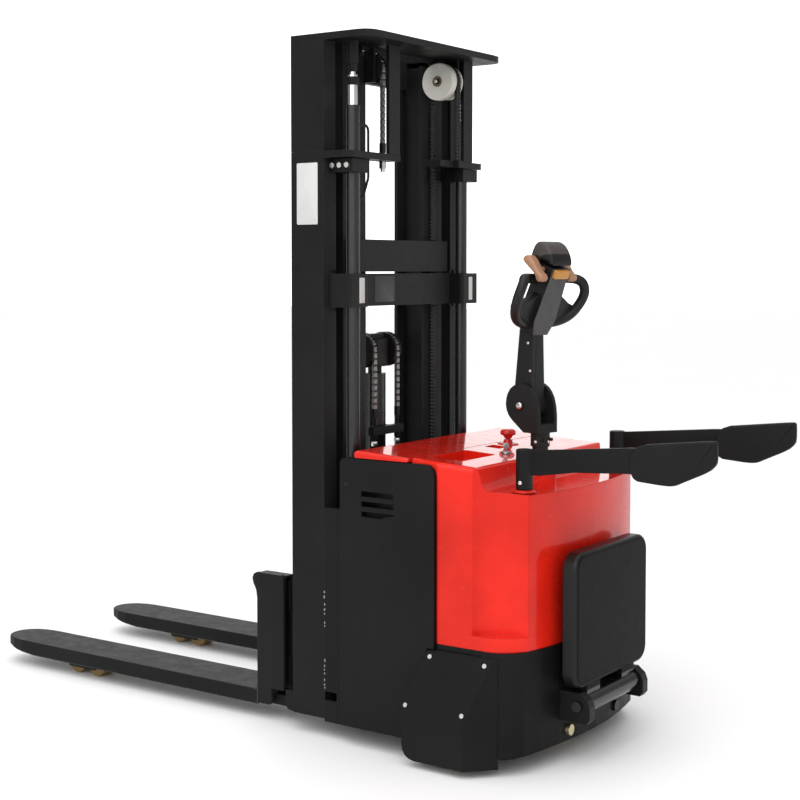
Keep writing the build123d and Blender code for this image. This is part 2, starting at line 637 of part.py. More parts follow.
# battery block with terminals, pump unit and controller
with BuildPart() as battery:
    bx(-304, -100, -312, 312, 130, 810)
    for y in (-240, 240):
        cz(-202, y, 805, 832, 14)
    for y in (-60, 60):
        bx(-215, -189, y - 40, y + 40, 808, 818)
put(battery, "battery")

with BuildPart() as pump_unit:
    bx(-420, -335, 60, 278, 340, 560)
    cz(-378, 170, 555, 740, 52)
    bx(-415, -345, 90, 150, 560, 610)
put(pump_unit, "pump_unit")

with BuildPart() as controller:
    bx(-400, -335, -280, -110, 340, 480)
    for k in range(7):
        bx(-408, -399, -276 + 24 * k, -268 + 24 * k, 350, 470)
    for y in (-260, -220, -180, -140):
        cz(-366, y, 478, 500, 6)
put(controller, "controller")

# ====================================================== fittings on the deck
EST_X, EST_Y = -356.0, -100.0
with BuildPart() as panel_fittings:
    # gauge window, key switch and the stop button's collar
    bx(-389, -341, -39, 11, deck_z(-392) - 17, deck_z(-392) - 11)
    cz(KEY_X, KEY_Y, 822, 872, 8.9)
    cz(KEY_X, KEY_Y, 864.5, 872, 14)
    cz(EST_X, EST_Y, 830, 884, 10.9)
    cz(EST_X, EST_Y, 871, 884, 21)
    cz(EST_X, EST_Y, 820, 900, 8.06, Mode.SUBTRACT)
put(panel_fittings, "panel_fittings")

with BuildPart() as estop_button:
    cz(EST_X, EST_Y, 834, 902, 8)
    cz(EST_X, EST_Y, 897, 916, 20)
    fillet(estop_button.edges().filter_by(GeomType.CIRCLE).filter_by_position(Axis.Z, 915.5, 916.5), 8)
put(estop_button, "estop_button")

# fixed spigots that carry the guard arms
with BuildPart() as arm_sockets:
    for s in (1, -1):
        cz(POST_X, s * POST_Y, HOOD_Z0, 905, 14)
        with Locations((POST_X + XM, s * POST_Y, LOW_DECK + 3.6)):
            Cone(34, 26, 6.4)
put(arm_sockets, "arm_sockets")

BAR = [(-640, 838), (-640, 910), (-670, 910), (-960, 936), (-1000, 938), (-1000, 866), (-960, 866), (-800, 857), (-690, 840)]
PAD = [(-965, 944), (-1203, 971), (-1210, 969), (-1213, 962), (-1213, 915), (-1206, 903), (-1188, 887), (-1118, 855),
       (-1096, 844), (-1070, 842), (-1026, 845), (-965, 850)]


def guard_arm(s):
    # sleeve on the spigot, flat bar, pad over the bar's end
    cz(POST_X, s * POST_Y, LOW_DECK + 7.5, 911, 24)
    a, b = sorted((s * (POST_Y - 7), s * (POST_Y + 7)))
    side(BAR, a, b)
    a, b = sorted((s * (POST_Y - 12), s * (POST_Y + 12)))
    side(PAD, a, b)
    cz(POST_X, s * POST_Y, LOW_DECK, 905.5, 14.06, Mode.SUBTRACT)


with BuildPart() as guard_arm_left:
    guard_arm(1)
put(guard_arm_left, "guard_arm_left")
with BuildPart() as guard_arm_right:
    guard_arm(-1)
put(guard_arm_right, "guard_arm_right")

# ================================================================= platform
with BuildPart() as platform:
    bx(-774, -730, -228, 228, 228, 615)
    fillet(platform.edges().filter_by(Axis.X), 50)
    fillet(platform.edges().filter_by_position(Axis.X, XM - 774.5, XM - 773.5), 14)
    cy(PLAT_HINGE_X, PLAT_HINGE_Z, -154, 154, 29)
    for s in (1, -1):
        a, b = sorted((s * 70.0, s * 150.0))
        bx(-768, -740, a, b, 180, 232)
    cy(PLAT_HINGE_X, PLAT_HINGE_Z, -160, 160, 10.05, Mode.SUBTRACT)
put(platform, "platform")

with BuildPart() as platform_brackets:
    for s in (1, -1):
        a, b = sorted((s * 156.0, s * 188.0))
        side([(-690, 128), (-690, 214), (-765, 214), (-788, 196), (-796, 176), (-796, 140), (-786, 128)], a, b)
    plan(SKIRT_FULL, 40, 360, Mode.SUBTRACT)
    cy(PLAT_HINGE_X, PLAT_HINGE_Z, -200, 200, 10.0, Mode.SUBTRACT)
put(platform_brackets, "platform_brackets")

# =========================================================== chassis fasteners
# cover screws, platform pin and bolts, mast clamp bolts, chain anchor
with BuildPart() as chassis_fasteners:
    for s in (1, -1):
        for x, y, z in COVER_SCREWS:
            n = Vector(0, s * 167, 60).normalized()
            base = Vector(x + XM, s * y, z) + n * 0.1
            with BuildSketch(Plane(origin=base, z_dir=n)) as hd:
                Circle(6.5)
            extrude(hd.sketch, amount=3.5)
            with BuildSketch(Plane(origin=base, z_dir=n)) as sh:
                Circle(2.9)
            extrude(sh.sketch, amount=-9)
    cy(PLAT_HINGE_X, PLAT_HINGE_Z, -190, 190, 10.0)
    for s in (1, -1):
        a, b = sorted((s * 188.0, s * 197.0))
        cy(PLAT_HINGE_X, PLAT_HINGE_Z, a, b, 15)
        # clamp bolts beside the cylinder
        for x in (-14, -41, -68):
            with BuildSketch(Plane(origin=(x + XM, s * 348, 1722), z_dir=(0, s, 0))) as hx:
                RegularPolygon(9, 6)
            extrude(hx.sketch, amount=8)
    # plug on the skirt
    for s in (1, -1):
        cx(s * 145.0, 91, -716, -690, 16)
    plan(SKIRT_FULL, 40, 360, Mode.SUBTRACT)
    # chain anchor: rod, nuts, clevis
    cz(-50, 144, 1712, 1790, 6.9)
    with BuildSketch(Plane.XY.offset(1722)) as nut:
        with Locations((XM - 50, 144)):
            RegularPolygon(12, 6)
    extrude(nut.sketch, amount=22)
    bx(-56.3, -43.7, 135, 153, 1770, 1800)
put(chassis_fasteners, "chassis_fasteners")

# clamp blocks that tie the cylinder barrels to the outer mast
with BuildPart() as cylinder_clamps:
    for s in (1, -1):
        a, b = sorted((s * 262.0, s * 348.0))
        bx(-86, 0, a, b, 1702, 1742)
        cz(CYL_X, s * CYL_Y, 1690, 1750, CYL_R + 0.2, Mode.SUBTRACT)
put(cylinder_clamps, "cylinder_clamps")

# thin hose that links the left barrel's two ports
with BuildPart() as cylinder_hose:
    with BuildLine() as route:
        FilletPolyline((CYL_X + XM, 278.6, 1848), (CYL_X + XM, 222, 1848), (CYL_X + XM, 222, 1690),
                       (CYL_X + XM, 252, 1625), (CYL_X + XM, 278.6, 1625), radius=18)
    with BuildSketch(Plane(origin=(CYL_X + XM, 278.6, 1848), z_dir=(0, -1, 0))) as sec:
        Circle(4)
    sweep(sec.sketch, path=route.line)
put(cylinder_hose, "cylinder_hose")

# =============================================================== drive unit
with BuildPart() as drive_unit:
    cz(COL_X, 0, HOOD_Z0 + 0.6, 360, 118)
    cz(COL_X, 0, 268, 350, 104)
    bx(COL_X - 58, COL_X + 58, 46, 92, 56, 300)
    fillet(drive_unit.edges().filter_by(Axis.Y).filter_by_position(Axis.Z, 50, 60), 40)
    cy(COL_X, 115, -44, 60, 14)
    cz(COL_X, 0, 358, 600, 68)
    cz(COL_X, 0, 596, 622, 40)
put_turned(drive_unit, "drive_unit")

with BuildPart() as drive_wheel:
    cy(COL_X, 115, -40, 36, 115)
    chamfer(drive_wheel.edges().filter_by(GeomType.CIRCLE), 5)
    cy(COL_X, 115, -60, 60, 14.06, Mode.SUBTRACT)
put_turned(drive_wheel, "drive_wheel")

# column with yoke and the tiller's pivot pin
with BuildPart() as steer_column:
    cz(COL_X, 0, 622, 926, 24)
    cz(COL_X, 0, 884, 926, 29)
    side([(-556, 925), (-556, 976), (-553, 1004), (-546, 1028), (-536, 1046), (-524, 1059), (-509, 1068), (-492, 1072), (-474, 1070),
          (-458, 1064), (-444, 1054), (-434, 1040), (-428, 1024), (-426, 1006), (-429, 990), (-437, 974), (-452, 959), (-472, 944),
          (-498, 925)], -43, 43)
    bx(-600, -400, -31, 31, 952, 1100, Mode.SUBTRACT)
    cy(TILT_X, TILT_Z, -48, 48, 8)
    for s in (1, -1):
        a, b = sorted((s * 43.0, s * 48.0))
        cy(TILT_X, TILT_Z, a, b, 13)
        # collar screws
        cx(s * 16.0, 905, COL_X - 33, COL_X, 5)
put_turned(steer_column, "steer_column")

# ============================================================ tiller and head
LEAN = math.radians(23.0)
HX, HZ = -497.0, 1228.0
UP = Vector(-math.sin(LEAN), 0, math.cos(LEAN))
FW = Vector(math.cos(LEAN), 0, math.sin(LEAN))
TH = Vector(HX + XM, 0, HZ) + UP * 200 + FW * 6


def head_plane(w):
    """Plane of the tiller head: first axis across (to the right), second along the lean, offset w forwards."""
    o = Vector(HX + XM, 0, HZ) + FW * w
    return Plane(origin=o, x_dir=(0, -1, 0), z_dir=(-FW.X, -FW.Y, -FW.Z))


with BuildPart() as tiller_arm:
    cy(TILT_X, TILT_Z, -30, 30, 40)
    with BuildSketch(Plane.XY.offset(1010)) as low:
        with Locations((XM - 490, 0)):
            RectangleRounded(66, 59, 10)
    with BuildSketch(Plane.XY.offset(1250)) as high:
        with Locations((XM - 498, 0)):
            RectangleRounded(54, 40, 10)
    loft([low.sketch.face(), high.sketch.face()])
    with BuildSketch(Plane.XY.offset(1036)) as low2:
        with Locations((XM - 479, 0)):
            RectangleRounded(74, 57.9, 10)
    with BuildSketch(Plane.XY.offset(1250)) as high2:
        with Locations((XM - 491, 0)):
            RectangleRounded(68, 40, 10)
    loft([low2.sketch.face(), high2.sketch.face()])
    cy(TILT_X, TILT_Z, -40, 40, 8.06, Mode.SUBTRACT)
    # sloping seat of the head
    with BuildSketch(head_plane(100)) as seat:
        with Locations((0, 100)):
            Rectangle(300, 200)
    extrude(seat.sketch, amount=200, mode=Mode.SUBTRACT)
put_turned(tiller_arm, "tiller_arm")

def hp(u, v, w):
    """Point of the tiller head: u along the lean, v to the right, w forwards."""
    return Vector(HX + XM, -v, HZ) + UP * u + FW * w


with BuildPart() as tiller_head:
    with BuildSketch(head_plane(34)) as spine:
        with BuildLine():
            Polyline((-32, 0), (32, 0), (47, 44), (42, 130), (38, 180), (38, 214), (-38, 214), (-38, 180), (-42, 130), (-47, 44),
                     close=True)
        make_face()
    extrude(spine.sketch, amount=64)
    # finger loops: round grips bent rearwards, with a web below the windows
    for s in (1, -1):
        with BuildLine() as grip:
            Spline(hp(24, s * 20, 4), hp(30, s * 66, -5), hp(56, s * 118, -17), hp(100, s * 143, -24), hp(140, s * 145, -25),
                   hp(166, s * 130, -14), hp(167, s * 98, 12), hp(163, s * 60, 21), hp(164, s * 26, 21))
        with BuildSketch(Plane(origin=grip.line @ 0, z_dir=grip.line % 0)) as tube:
            Circle(15)
        sweep(tube.sketch, path=grip.line)
        with BuildSketch(head_plane(6)) as web:
            with BuildLine():
                Polyline((s * 20, 14), (s * 60, 20), (s * 100, 42), (s * 124, 66), (s * 132, 86), (s * 106, 94), (s * 52, 124),
                         (s * 20, 136), close=True)
            make_face()
        extrude(web.sketch, amount=22)
    # bore for the throttle's shaft
    with BuildSketch(Plane(origin=(TH.X, -60, TH.Z), z_dir=(0, 1, 0))) as eye:
        Circle(7.06)
    extrude(eye.sketch, amount=120, mode=Mode.SUBTRACT)
    # pockets for the lift button and the belly button's stem
    with BuildSketch(head_plane(-20)) as pocket:
        with Locations((0, 199)):
            RectangleRounded(65.2, 27.2, 5.4)
    extrude(pocket.sketch, amount=20, mode=Mode.SUBTRACT)
    with BuildSketch(head_plane(29.6)) as pocket2:
        with Locations((0, 203)):
            Rectangle(50, 30)
    extrude(pocket2.sketch, amount=13.2, mode=Mode.SUBTRACT)
put_turned(tiller_head, "tiller_head")

# belly button at the head's end: a faceted cap on a stem
with BuildPart() as belly_button:
    with BuildSketch(Plane(origin=hp(0, -46, 0), x_dir=FW, z_dir=(0, -1, 0))) as cap:
        with BuildLine():
            Polyline((-16, 222), (-16, 236), (-6, 254), (14, 271), (38, 275), (56, 264), (62, 247), (62, 222), close=True)
        make_face()
    extrude(cap.sketch, amount=92)
    ends = belly_button.faces().sort_by(Axis.Y)
    chamfer(ends[0].edges() + ends[-1].edges(), 7)
    with BuildSketch(head_plane(29)) as stem:
        with Locations((0, 211)):
            Rectangle(48.8, 26)
    extrude(stem.sketch, amount=12)
put_turned(belly_button, "belly_button")

# thumb throttle: a rocker with a wing on each side of the head
WING = [(46, 204), (44, 220), (30, 227), (12, 217), (-14, 198), (-28, 196), (-35, 186), (-32, 175), (-20, 170), (-11, 176),
        (-2, 186), (12, 192), (32, 196)]
with BuildPart() as throttle:
    with BuildSketch(Plane(origin=(TH.X, -80, TH.Z), z_dir=(0, 1, 0))) as rod:
        Circle(7)
    extrude(rod.sketch, amount=160)
    for v in (-83, 49):
        with BuildSketch(Plane(origin=hp(0, v, 0), x_dir=FW, z_dir=(0, -1, 0))) as wing:
            with BuildLine():
                Polyline(*WING, close=True)
            make_face()
        extrude(wing.sketch, amount=34)
put_turned(throttle, "throttle")

# lift and lower button on the head's rear face
with BuildPart() as lift_button:
    with BuildSketch(head_plane(-25)) as btn:
        with Locations((0, 199)):
            RectangleRounded(64, 26, 5)
    extrude(btn.sketch, amount=14)
put_turned(lift_button, "lift_button")

# ================================================================== casters
CAS_X, CAS_Y = -437.0, 372.0
for s, sn in ((1, "left"), (-1, "right")):
    with BuildPart() as caster_fork:
        cz(CAS_X, s * CAS_Y, 112, 158, 10.0)
        cz(CAS_X, s * CAS_Y, 150.6, 160, 15)
        cz(CAS_X, s * CAS_Y, 112, 141, 22)
        bx(CAS_X - 38, CAS_X + 20, s * CAS_Y - 29, s * CAS_Y + 29, 106, 114)
        for t in (1, -1):
            a, b = sorted((s * CAS_Y + t * 23.0, s * CAS_Y + t * 29.0))
            side([(CAS_X - 38, 110), (CAS_X - 34, 40), (CAS_X - 8, 36), (CAS_X + 16, 110)], a, b)
        cy(CAS_X - 20, 50, s * CAS_Y - 28, s * CAS_Y + 28, 6)
    put(caster_fork, "caster_fork_" + sn)
    with BuildPart() as caster_wheel:
        cy(CAS_X - 20, 50, s * CAS_Y - 20, s * CAS_Y + 20, 50)
        fillet(caster_wheel.edges().filter_by(GeomType.CIRCLE), 4)
        cy(CAS_X - 20, 50, s * CAS_Y - 30, s * CAS_Y + 30, 6.06, Mode.SUBTRACT)
    put(caster_wheel, "caster_wheel_" + sn)
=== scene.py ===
import bpy, bmesh, math, random
from mathutils import Vector, Matrix
from mathutils.bvhtree import BVHTree


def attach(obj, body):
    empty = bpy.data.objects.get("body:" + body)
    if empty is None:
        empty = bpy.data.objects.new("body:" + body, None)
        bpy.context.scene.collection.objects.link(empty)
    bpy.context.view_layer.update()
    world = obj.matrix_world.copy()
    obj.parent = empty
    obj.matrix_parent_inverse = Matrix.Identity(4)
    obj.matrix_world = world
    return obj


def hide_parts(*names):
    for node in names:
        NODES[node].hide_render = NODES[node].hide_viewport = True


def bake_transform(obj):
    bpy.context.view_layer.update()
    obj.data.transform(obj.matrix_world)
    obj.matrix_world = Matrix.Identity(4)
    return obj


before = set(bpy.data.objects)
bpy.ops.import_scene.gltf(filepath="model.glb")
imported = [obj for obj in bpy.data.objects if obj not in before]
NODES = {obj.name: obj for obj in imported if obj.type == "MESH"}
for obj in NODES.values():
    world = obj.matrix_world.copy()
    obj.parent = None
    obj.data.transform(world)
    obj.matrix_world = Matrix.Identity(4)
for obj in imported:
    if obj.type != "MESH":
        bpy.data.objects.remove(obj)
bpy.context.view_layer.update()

XM = -0.1495                      # X of the outer mast's rear plane


def P(x, y, z):
    """Point given in millimetres from the mast's rear plane."""
    return Vector((x / 1000 + XM, y / 1000, z / 1000))


# ------------------------------------------------------------------ camera
cam_data = bpy.data.cameras.new("camera")
cam = bpy.data.objects.new("camera", cam_data)
bpy.context.scene.collection.objects.link(cam)
bpy.context.scene.camera = cam
cam_data.sensor_width = 36.0
cam_data.lens = 67.39
cam_data.shift_y = -0.075
cam_data.clip_start, cam_data.clip_end = 0.1, 100
YAW, PITCH = -0.9642, 0.0479
cam.location = (-2.7315 + XM, 3.915, 1.4165)
look = Vector((math.cos(YAW) * math.cos(PITCH), math.sin(YAW) * math.cos(PITCH), -math.sin(PITCH)))
cam.rotation_mode = "QUATERNION"
cam.rotation_quaternion = look.to_track_quat("-Z", "Y")

scene = bpy.context.scene
scene.view_settings.view_transform = "Standard"
scene.view_settings.look = "None"
scene.view_settings.exposure = 0.0
scene.view_settings.gamma = 1.0


# --------------------------------------------------------------- materials
class Mat:
    """A small helper around one node tree."""

    def __init__(self, name):
        self.m = bpy.data.materials.new(name)
        self.m.use_nodes = True
        self.t = self.m.node_tree
        self.b = self.t.nodes["Principled BSDF"]
        self.co = self.t.nodes.new("ShaderNodeTexCoord")
        self.normal = None

    def n(self, kind, **inputs):
        node = self.t.nodes.new(kind)
        for k, v in inputs.items():
            node.inputs[k.replace("_", " ")].default_value = v
        return node

    def link(self, a, b):
        self.t.links.new(a, b)

    def mapped(self, scale=(1, 1, 1), rot=(0, 0, 0)):
        mp = self.n("ShaderNodeMapping")
        mp.inputs["Scale"].default_value = scale
        mp.inputs["Rotation"].default_value = rot
        self.link(self.co.outputs["Object"], mp.inputs["Vector"])
        return mp.outputs["Vector"]

    def noise(self, scale, detail=3.0, rough=0.55, vec=None):
        nz = self.n("ShaderNodeTexNoise")
        nz.inputs["Scale"].default_value = scale
        nz.inputs["Detail"].default_value = detail
        nz.inputs["Roughness"].default_value = rough
        self.link(vec or self.co.outputs["Object"], nz.inputs["Vector"])
        return nz.outputs["Fac"]

    def ramp(self, fac, a, b, lo=0.0, hi=1.0):
        r = self.n("ShaderNodeMapRange")
        r.inputs["From Min"].default_value = a
        r.inputs["From Max"].default_value = b
        r.inputs["To Min"].default_value = lo
        r.inputs["To Max"].default_value = hi
        r.clamp = True
        self.link(fac, r.inputs["Value"])
        return r.outputs["Result"]

    def math(self, op, a, b=None):
        k = self.n("ShaderNodeMath")
        k.operation = op
        for i, v in enumerate((a, b)):
            if v is None:
                continue
            if isinstance(v, (int, float)):
                k.inputs[i].default_value = v
            else:
                self.link(v, k.inputs[i])
        return k.outputs[0]

    def mix(self, fac, a, b):
        k = self.n("ShaderNodeMix")
        k.data_type = "RGBA"
        if isinstance(fac, (int, float)):
            k.inputs["Factor"].default_value = fac
        else:
            self.link(fac, k.inputs["Factor"])
        for i, v in ((6, a), (7, b)):
            if isinstance(v, (tuple, list)):
                k.inputs[i].default_value = (*v[:3], 1)
            else:
                self.link(v, k.inputs[i])
        return k.outputs[2]

    def edge(self, radius):
        """0 on flat faces, towards 1 at sharp edges."""
        bv = self.n("ShaderNodeBevel")
        bv.samples = 4
        bv.inputs["Radius"].default_value = radius
        geo = self.n("ShaderNodeNewGeometry")
        d = self.n("ShaderNodeVectorMath")
        d.operation = "DOT_PRODUCT"
        self.link(bv.outputs["Normal"], d.inputs[0])
        self.link(geo.outputs["Normal"], d.inputs[1])
        return self.math("SUBTRACT", 1.0, d.outputs["Value"])

    def round_edges(self, radius):
        bv = self.n("ShaderNodeBevel")
        bv.samples = 4
        bv.inputs["Radius"].default_value = radius
        self.normal = bv.outputs["Normal"]

    def bump(self, height, strength, distance):
        k = self.n("ShaderNodeBump")
        k.inputs["Strength"].default_value = strength
        k.inputs["Distance"].default_value = distance
        self.link(height, k.inputs["Height"])
        if self.normal is not None:
            self.link(self.normal, k.inputs["Normal"])
        self.normal = k.outputs["Normal"]

    def done(self):
        if self.normal is not None:
            self.link(self.normal, self.b.inputs["Normal"])
        return self.m


def paint(name, col, rough=0.42, wear=0.5, wear_col=(0.16, 0.16, 0.155), dust=0.25, peel=700.0, peel_s=0.10, spec=0.4,
          bevel=0.0025, coat=0.0, painted_edge_light=0.0, painted_edge_light_col=(0.10, 0.10, 0.098), top=None, back=None, painted_edge_light_r=0.0):
    """Powder coat or paint: uneven sheen, faint dust, fine peel, worn edges; optionally a painted highlight along the
    edges, painted light on rear-facing faces (back) and painted light on upward faces (top).
    """
    k = Mat(name)
    big = k.noise(3.2, 4.0)
    mid = k.noise(28.0, 4.0, 0.6)
    dark = tuple(c * 0.80 for c in col)
    light = tuple(min(1.0, c * 1.18 + 0.0015) for c in col)
    c = k.mix(k.ramp(big, 0.3, 0.7), dark, light)
    d = k.math("MULTIPLY", k.ramp(mid, 0.52, 0.75), dust * 0.25)
    c = k.mix(d, c, tuple(min(1.0, x * 1.6 + 0.02) for x in col))
    if wear > 0:
        e = k.ramp(k.edge(bevel * 1.3), 0.08, 0.5)
        w = k.math("MULTIPLY", e, k.ramp(k.noise(60.0, 5.0, 0.65), 0.46, 0.66, 0.0, wear))
        c = k.mix(w, c, wear_col)
    # painted highlight: a lighter colour along every bevelled edge, standing in for the light that rounded edges catch
    if painted_edge_light > 0:
        e = k.ramp(k.edge(max(bevel * 1.1, painted_edge_light_r)), 0.10, 0.40, 0.0, painted_edge_light)
        c = k.mix(e, c, painted_edge_light_col)
    # painted light: faces turned to the rear (-X) get the lighter back colour, standing in for light on the shaded rear
    # side
    if back:
        geo = k.n("ShaderNodeNewGeometry")
        sep = k.n("ShaderNodeSeparateXYZ")
        k.link(geo.outputs["Normal"], sep.inputs[0])
        c = k.mix(k.ramp(sep.outputs["X"], -0.97, -0.6, 0.8, 0.0), c, k.mix(k.ramp(big, 0.3, 0.7), tuple(x * 0.8 for x in back), back))
    # painted light: upward faces get the lighter top colour, standing in for the light and reflection that tops catch
    if top:
        geo = k.n("ShaderNodeNewGeometry")
        sep = k.n("ShaderNodeSeparateXYZ")
        k.link(geo.outputs["Normal"], sep.inputs[0])
        c = k.mix(k.ramp(sep.outputs["Z"], 0.5, 0.95, 0.0, 0.75), c, k.mix(k.ramp(mid, 0.3, 0.7), tuple(x * 0.85 for x in top), top))
    k.link(c, k.b.inputs["Base Color"])
    k.link(k.ramp(mid, 0.3, 0.7, rough - 0.06, rough + 0.08), k.b.inputs["Roughness"])
    k.b.inputs["Specular IOR Level"].default_value = spec
    if coat:
        geo = k.n("ShaderNodeNewGeometry")
        sep = k.n("ShaderNodeSeparateXYZ")
        k.link(geo.outputs["Normal"], sep.inputs[0])
        k.link(k.ramp(sep.outputs["Z"], 0.2, 0.9, coat * 0.45, coat), k.b.inputs["Coat Weight"])
        k.b.inputs["Coat Roughness"].default_value = 0.04
        k.b.inputs["Coat IOR"].default_value = 1.34
    if bevel:
        k.round_edges(bevel)
    k.bump(k.noise(peel, 2.0), peel_s, 0.0006)
    return k.done()


def metal(name, col, rough=0.28, brush=None, bevel=0.001, streak=0.10):
    k = Mat(name)
    vec = k.mapped(brush) if brush else None
    a = k.noise(1.0 if brush else 120.0, 4.0, 0.6, vec)
    b = k.noise(18.0, 4.0)
    c = k.mix(k.ramp(a, 0.3, 0.7), tuple(x * (1 - streak * 1.6) for x in col), tuple(min(1, x * (1 + streak)) for x in col))
    c = k.mix(k.ramp(b, 0.58, 0.8, 0.0, 0.35), c, tuple(x * 0.55 for x in col))
    k.link(c, k.b.inputs["Base Color"])
    k.b.inputs["Metallic"].default_value = 1.0
    k.link(k.ramp(a, 0.25, 0.75, rough - 0.07, rough + 0.10), k.b.inputs["Roughness"])
    if bevel:
        k.round_edges(bevel)
    k.bump(a, 0.06, 0.0004)
    return k.done()


def plastic(name, col, rough=0.5, grain=900.0, grain_s=0.12, spec=0.4, bevel=0.0015, var=0.12, sss=0.0, edge=0.25, gloss=None):
    k = Mat(name)
    a = k.noise(9.0, 4.0)
    b = k.noise(70.0, 3.0)
    c = k.mix(k.ramp(a, 0.3, 0.7), tuple(x * (1 - var) for x in col), tuple(min(1, x * (1 + var)) for x in col))
    # lighter colour on edges where noise allows: scuffed edges, and at a large edge value a painted highlight along the
    # edges
    e = k.math("MULTIPLY", k.ramp(k.edge(0.002), 0.06, 0.5), k.ramp(b, 0.4, 0.7, 0.0, edge))
    c = k.mix(e, c, tuple(min(1, x * 1.5 + 0.02) for x in col))
    k.link(c, k.b.inputs["Base Color"])
    r = k.ramp(b, 0.3, 0.7, rough - 0.05, rough + 0.07)
    k.b.inputs["Specular IOR Level"].default_value = spec
    if gloss:
        sep = k.n("ShaderNodeSeparateXYZ")
        k.link(k.co.outputs["Object"], sep.inputs[0])
        low = k.math("LESS_THAN", sep.outputs["Z"], gloss)
        r = k.math("SUBTRACT", r, k.math("MULTIPLY", low, rough - 0.18))
        way = k.n("ShaderNodeSeparateXYZ")
        k.link(k.co.outputs["Normal"], way.inputs[0])
        face = k.ramp(way.outputs["X"], -0.97, -0.80, spec * 0.15, spec)
        k.link(k.math("MAXIMUM", face, k.math("MULTIPLY", low, 0.5)), k.b.inputs["Specular IOR Level"])
    k.link(r, k.b.inputs["Roughness"])
    if sss:
        k.b.inputs["Subsurface Weight"].default_value = sss
        k.b.inputs["Subsurface Radius"].default_value = (0.004, 0.003, 0.002)
    if bevel:
        k.round_edges(bevel)
    v = k.n("ShaderNodeTexVoronoi")
    v.inputs["Scale"].default_value = grain
    k.link(k.co.outputs["Object"], v.inputs["Vector"])
    k.bump(v.outputs["Distance"], grain_s, 0.0005)
    return k.done()


def tilted(u, v, w):
    """Point of the tiller head: u along its lean, v to the right, w forwards, with the steering turned."""
    lean, turn = math.radians(23.0), math.radians(-12.0)
    x = -497.0 - math.sin(lean) * u + math.cos(lean) * w + 527.0
    y = -v
    z = 1228.0 + math.cos(lean) * u + math.sin(lean) * w
    return P(-527.0 + math.cos(turn) * x - math.sin(turn) * y, math.sin(turn) * x + math.cos(turn) * y, z)


def steered(x, y, z):
    """Point beside the steering column, with the steering turned."""
    turn = math.radians(-12.0)
    x += 527.0
    return P(-527.0 + math.cos(turn) * x - math.sin(turn) * y, math.sin(turn) * x + math.cos(turn) * y, z)


def two_tone(name):
    """Tiller head: grey strip on the rear face, black grips and sides."""
    k = Mat(name)
    o = tilted(0, 0, 0)
    fw = (tilted(0, 0, 1000) - o).normalized()
    sub = k.n("ShaderNodeVectorMath")
    sub.operation = "SUBTRACT"
    k.link(k.co.outputs["Object"], sub.inputs[0])
    sub.inputs[1].default_value = tuple(o)
    dot = k.n("ShaderNodeVectorMath")
    dot.operation = "DOT_PRODUCT"
    k.link(sub.outputs["Vector"], dot.inputs[0])
    dot.inputs[1].default_value = tuple(fw)
    rt = (tilted(0, 1000, 0) - o).normalized()
    dv = k.n("ShaderNodeVectorMath")
    dv.operation = "DOT_PRODUCT"
    k.link(sub.outputs["Vector"], dv.inputs[0])
    dv.inputs[1].default_value = tuple(rt)
    rear = k.math("LESS_THAN", dot.outputs["Value"], -0.0292)
    mid = k.math("LESS_THAN", k.math("ABSOLUTE", dv.outputs["Value"]), 0.0475)
    mask = k.math("MULTIPLY", rear, mid)
    n1 = k.noise(40.0, 4.0)
    grey = k.mix(k.ramp(n1, 0.3, 0.7), (0.050, 0.050, 0.051), (0.064, 0.063, 0.063))
    dark = k.mix(k.ramp(n1, 0.3, 0.7), (0.0052, 0.0052, 0.0054), (0.0078, 0.0078, 0.0080))
    k.link(k.mix(mask, dark, grey), k.b.inputs["Base Color"])
    k.link(k.ramp(k.noise(90.0, 3.0), 0.3, 0.7, 0.40, 0.52), k.b.inputs["Roughness"])
    k.b.inputs["Specular IOR Level"].default_value = 0.30
    k.round_edges(0.004)
    v = k.n("ShaderNodeTexVoronoi")
    v.inputs["Scale"].default_value = 800.0
    k.link(k.co.outputs["Object"], v.inputs["Vector"])
    k.bump(v.outputs["Distance"], 0.14, 0.0005)
    return k.done()


def cap_rubber(name):
    """Cap at the tiller's end: brown-grey on top, black on its lower rear side."""
    k = Mat(name)
    o = tilted(0, 0, 0)
    vals = []
    for q in (tilted(1000, 0, 0), tilted(0, 0, 1000)):
        sub = k.n("ShaderNodeVectorMath")
        sub.operation = "SUBTRACT"
        k.link(k.co.outputs["Object"], sub.inputs[0])
        sub.inputs[1].default_value = tuple(o)
        dot = k.n("ShaderNodeVectorMath")
        dot.operation = "DOT_PRODUCT"
        k.link(sub.outputs["Vector"], dot.inputs[0])
        dot.inputs[1].default_value = tuple((q - o).normalized())
        vals.append(dot.outputs["Value"])
    low = k.ramp(k.math("ADD", vals[0], k.math("MULTIPLY", vals[1], 0.55)), 0.247, 0.251, 1.0, 0.0)
    back = k.ramp(vals[1], 0.018, 0.024, 1.0, 0.0)
    n1 = k.noise(40.0, 4.0)
    top = k.mix(k.ramp(n1, 0.3, 0.7), (0.052, 0.044, 0.042), (0.064, 0.054, 0.051))
    k.link(k.mix(k.math("MULTIPLY", low, back), top, (0.0085, 0.0082, 0.0082)), k.b.inputs["Base Color"])
    k.link(k.ramp(k.noise(90.0, 3.0), 0.3, 0.7, 0.38, 0.50), k.b.inputs["Roughness"])
    k.b.inputs["Specular IOR Level"].default_value = 0.24
    v = k.n("ShaderNodeTexVoronoi")
    v.inputs["Scale"].default_value = 800.0
    k.link(k.co.outputs["Object"], v.inputs["Vector"])
    k.bump(v.outputs["Distance"], 0.12, 0.0005)
    return k.done()


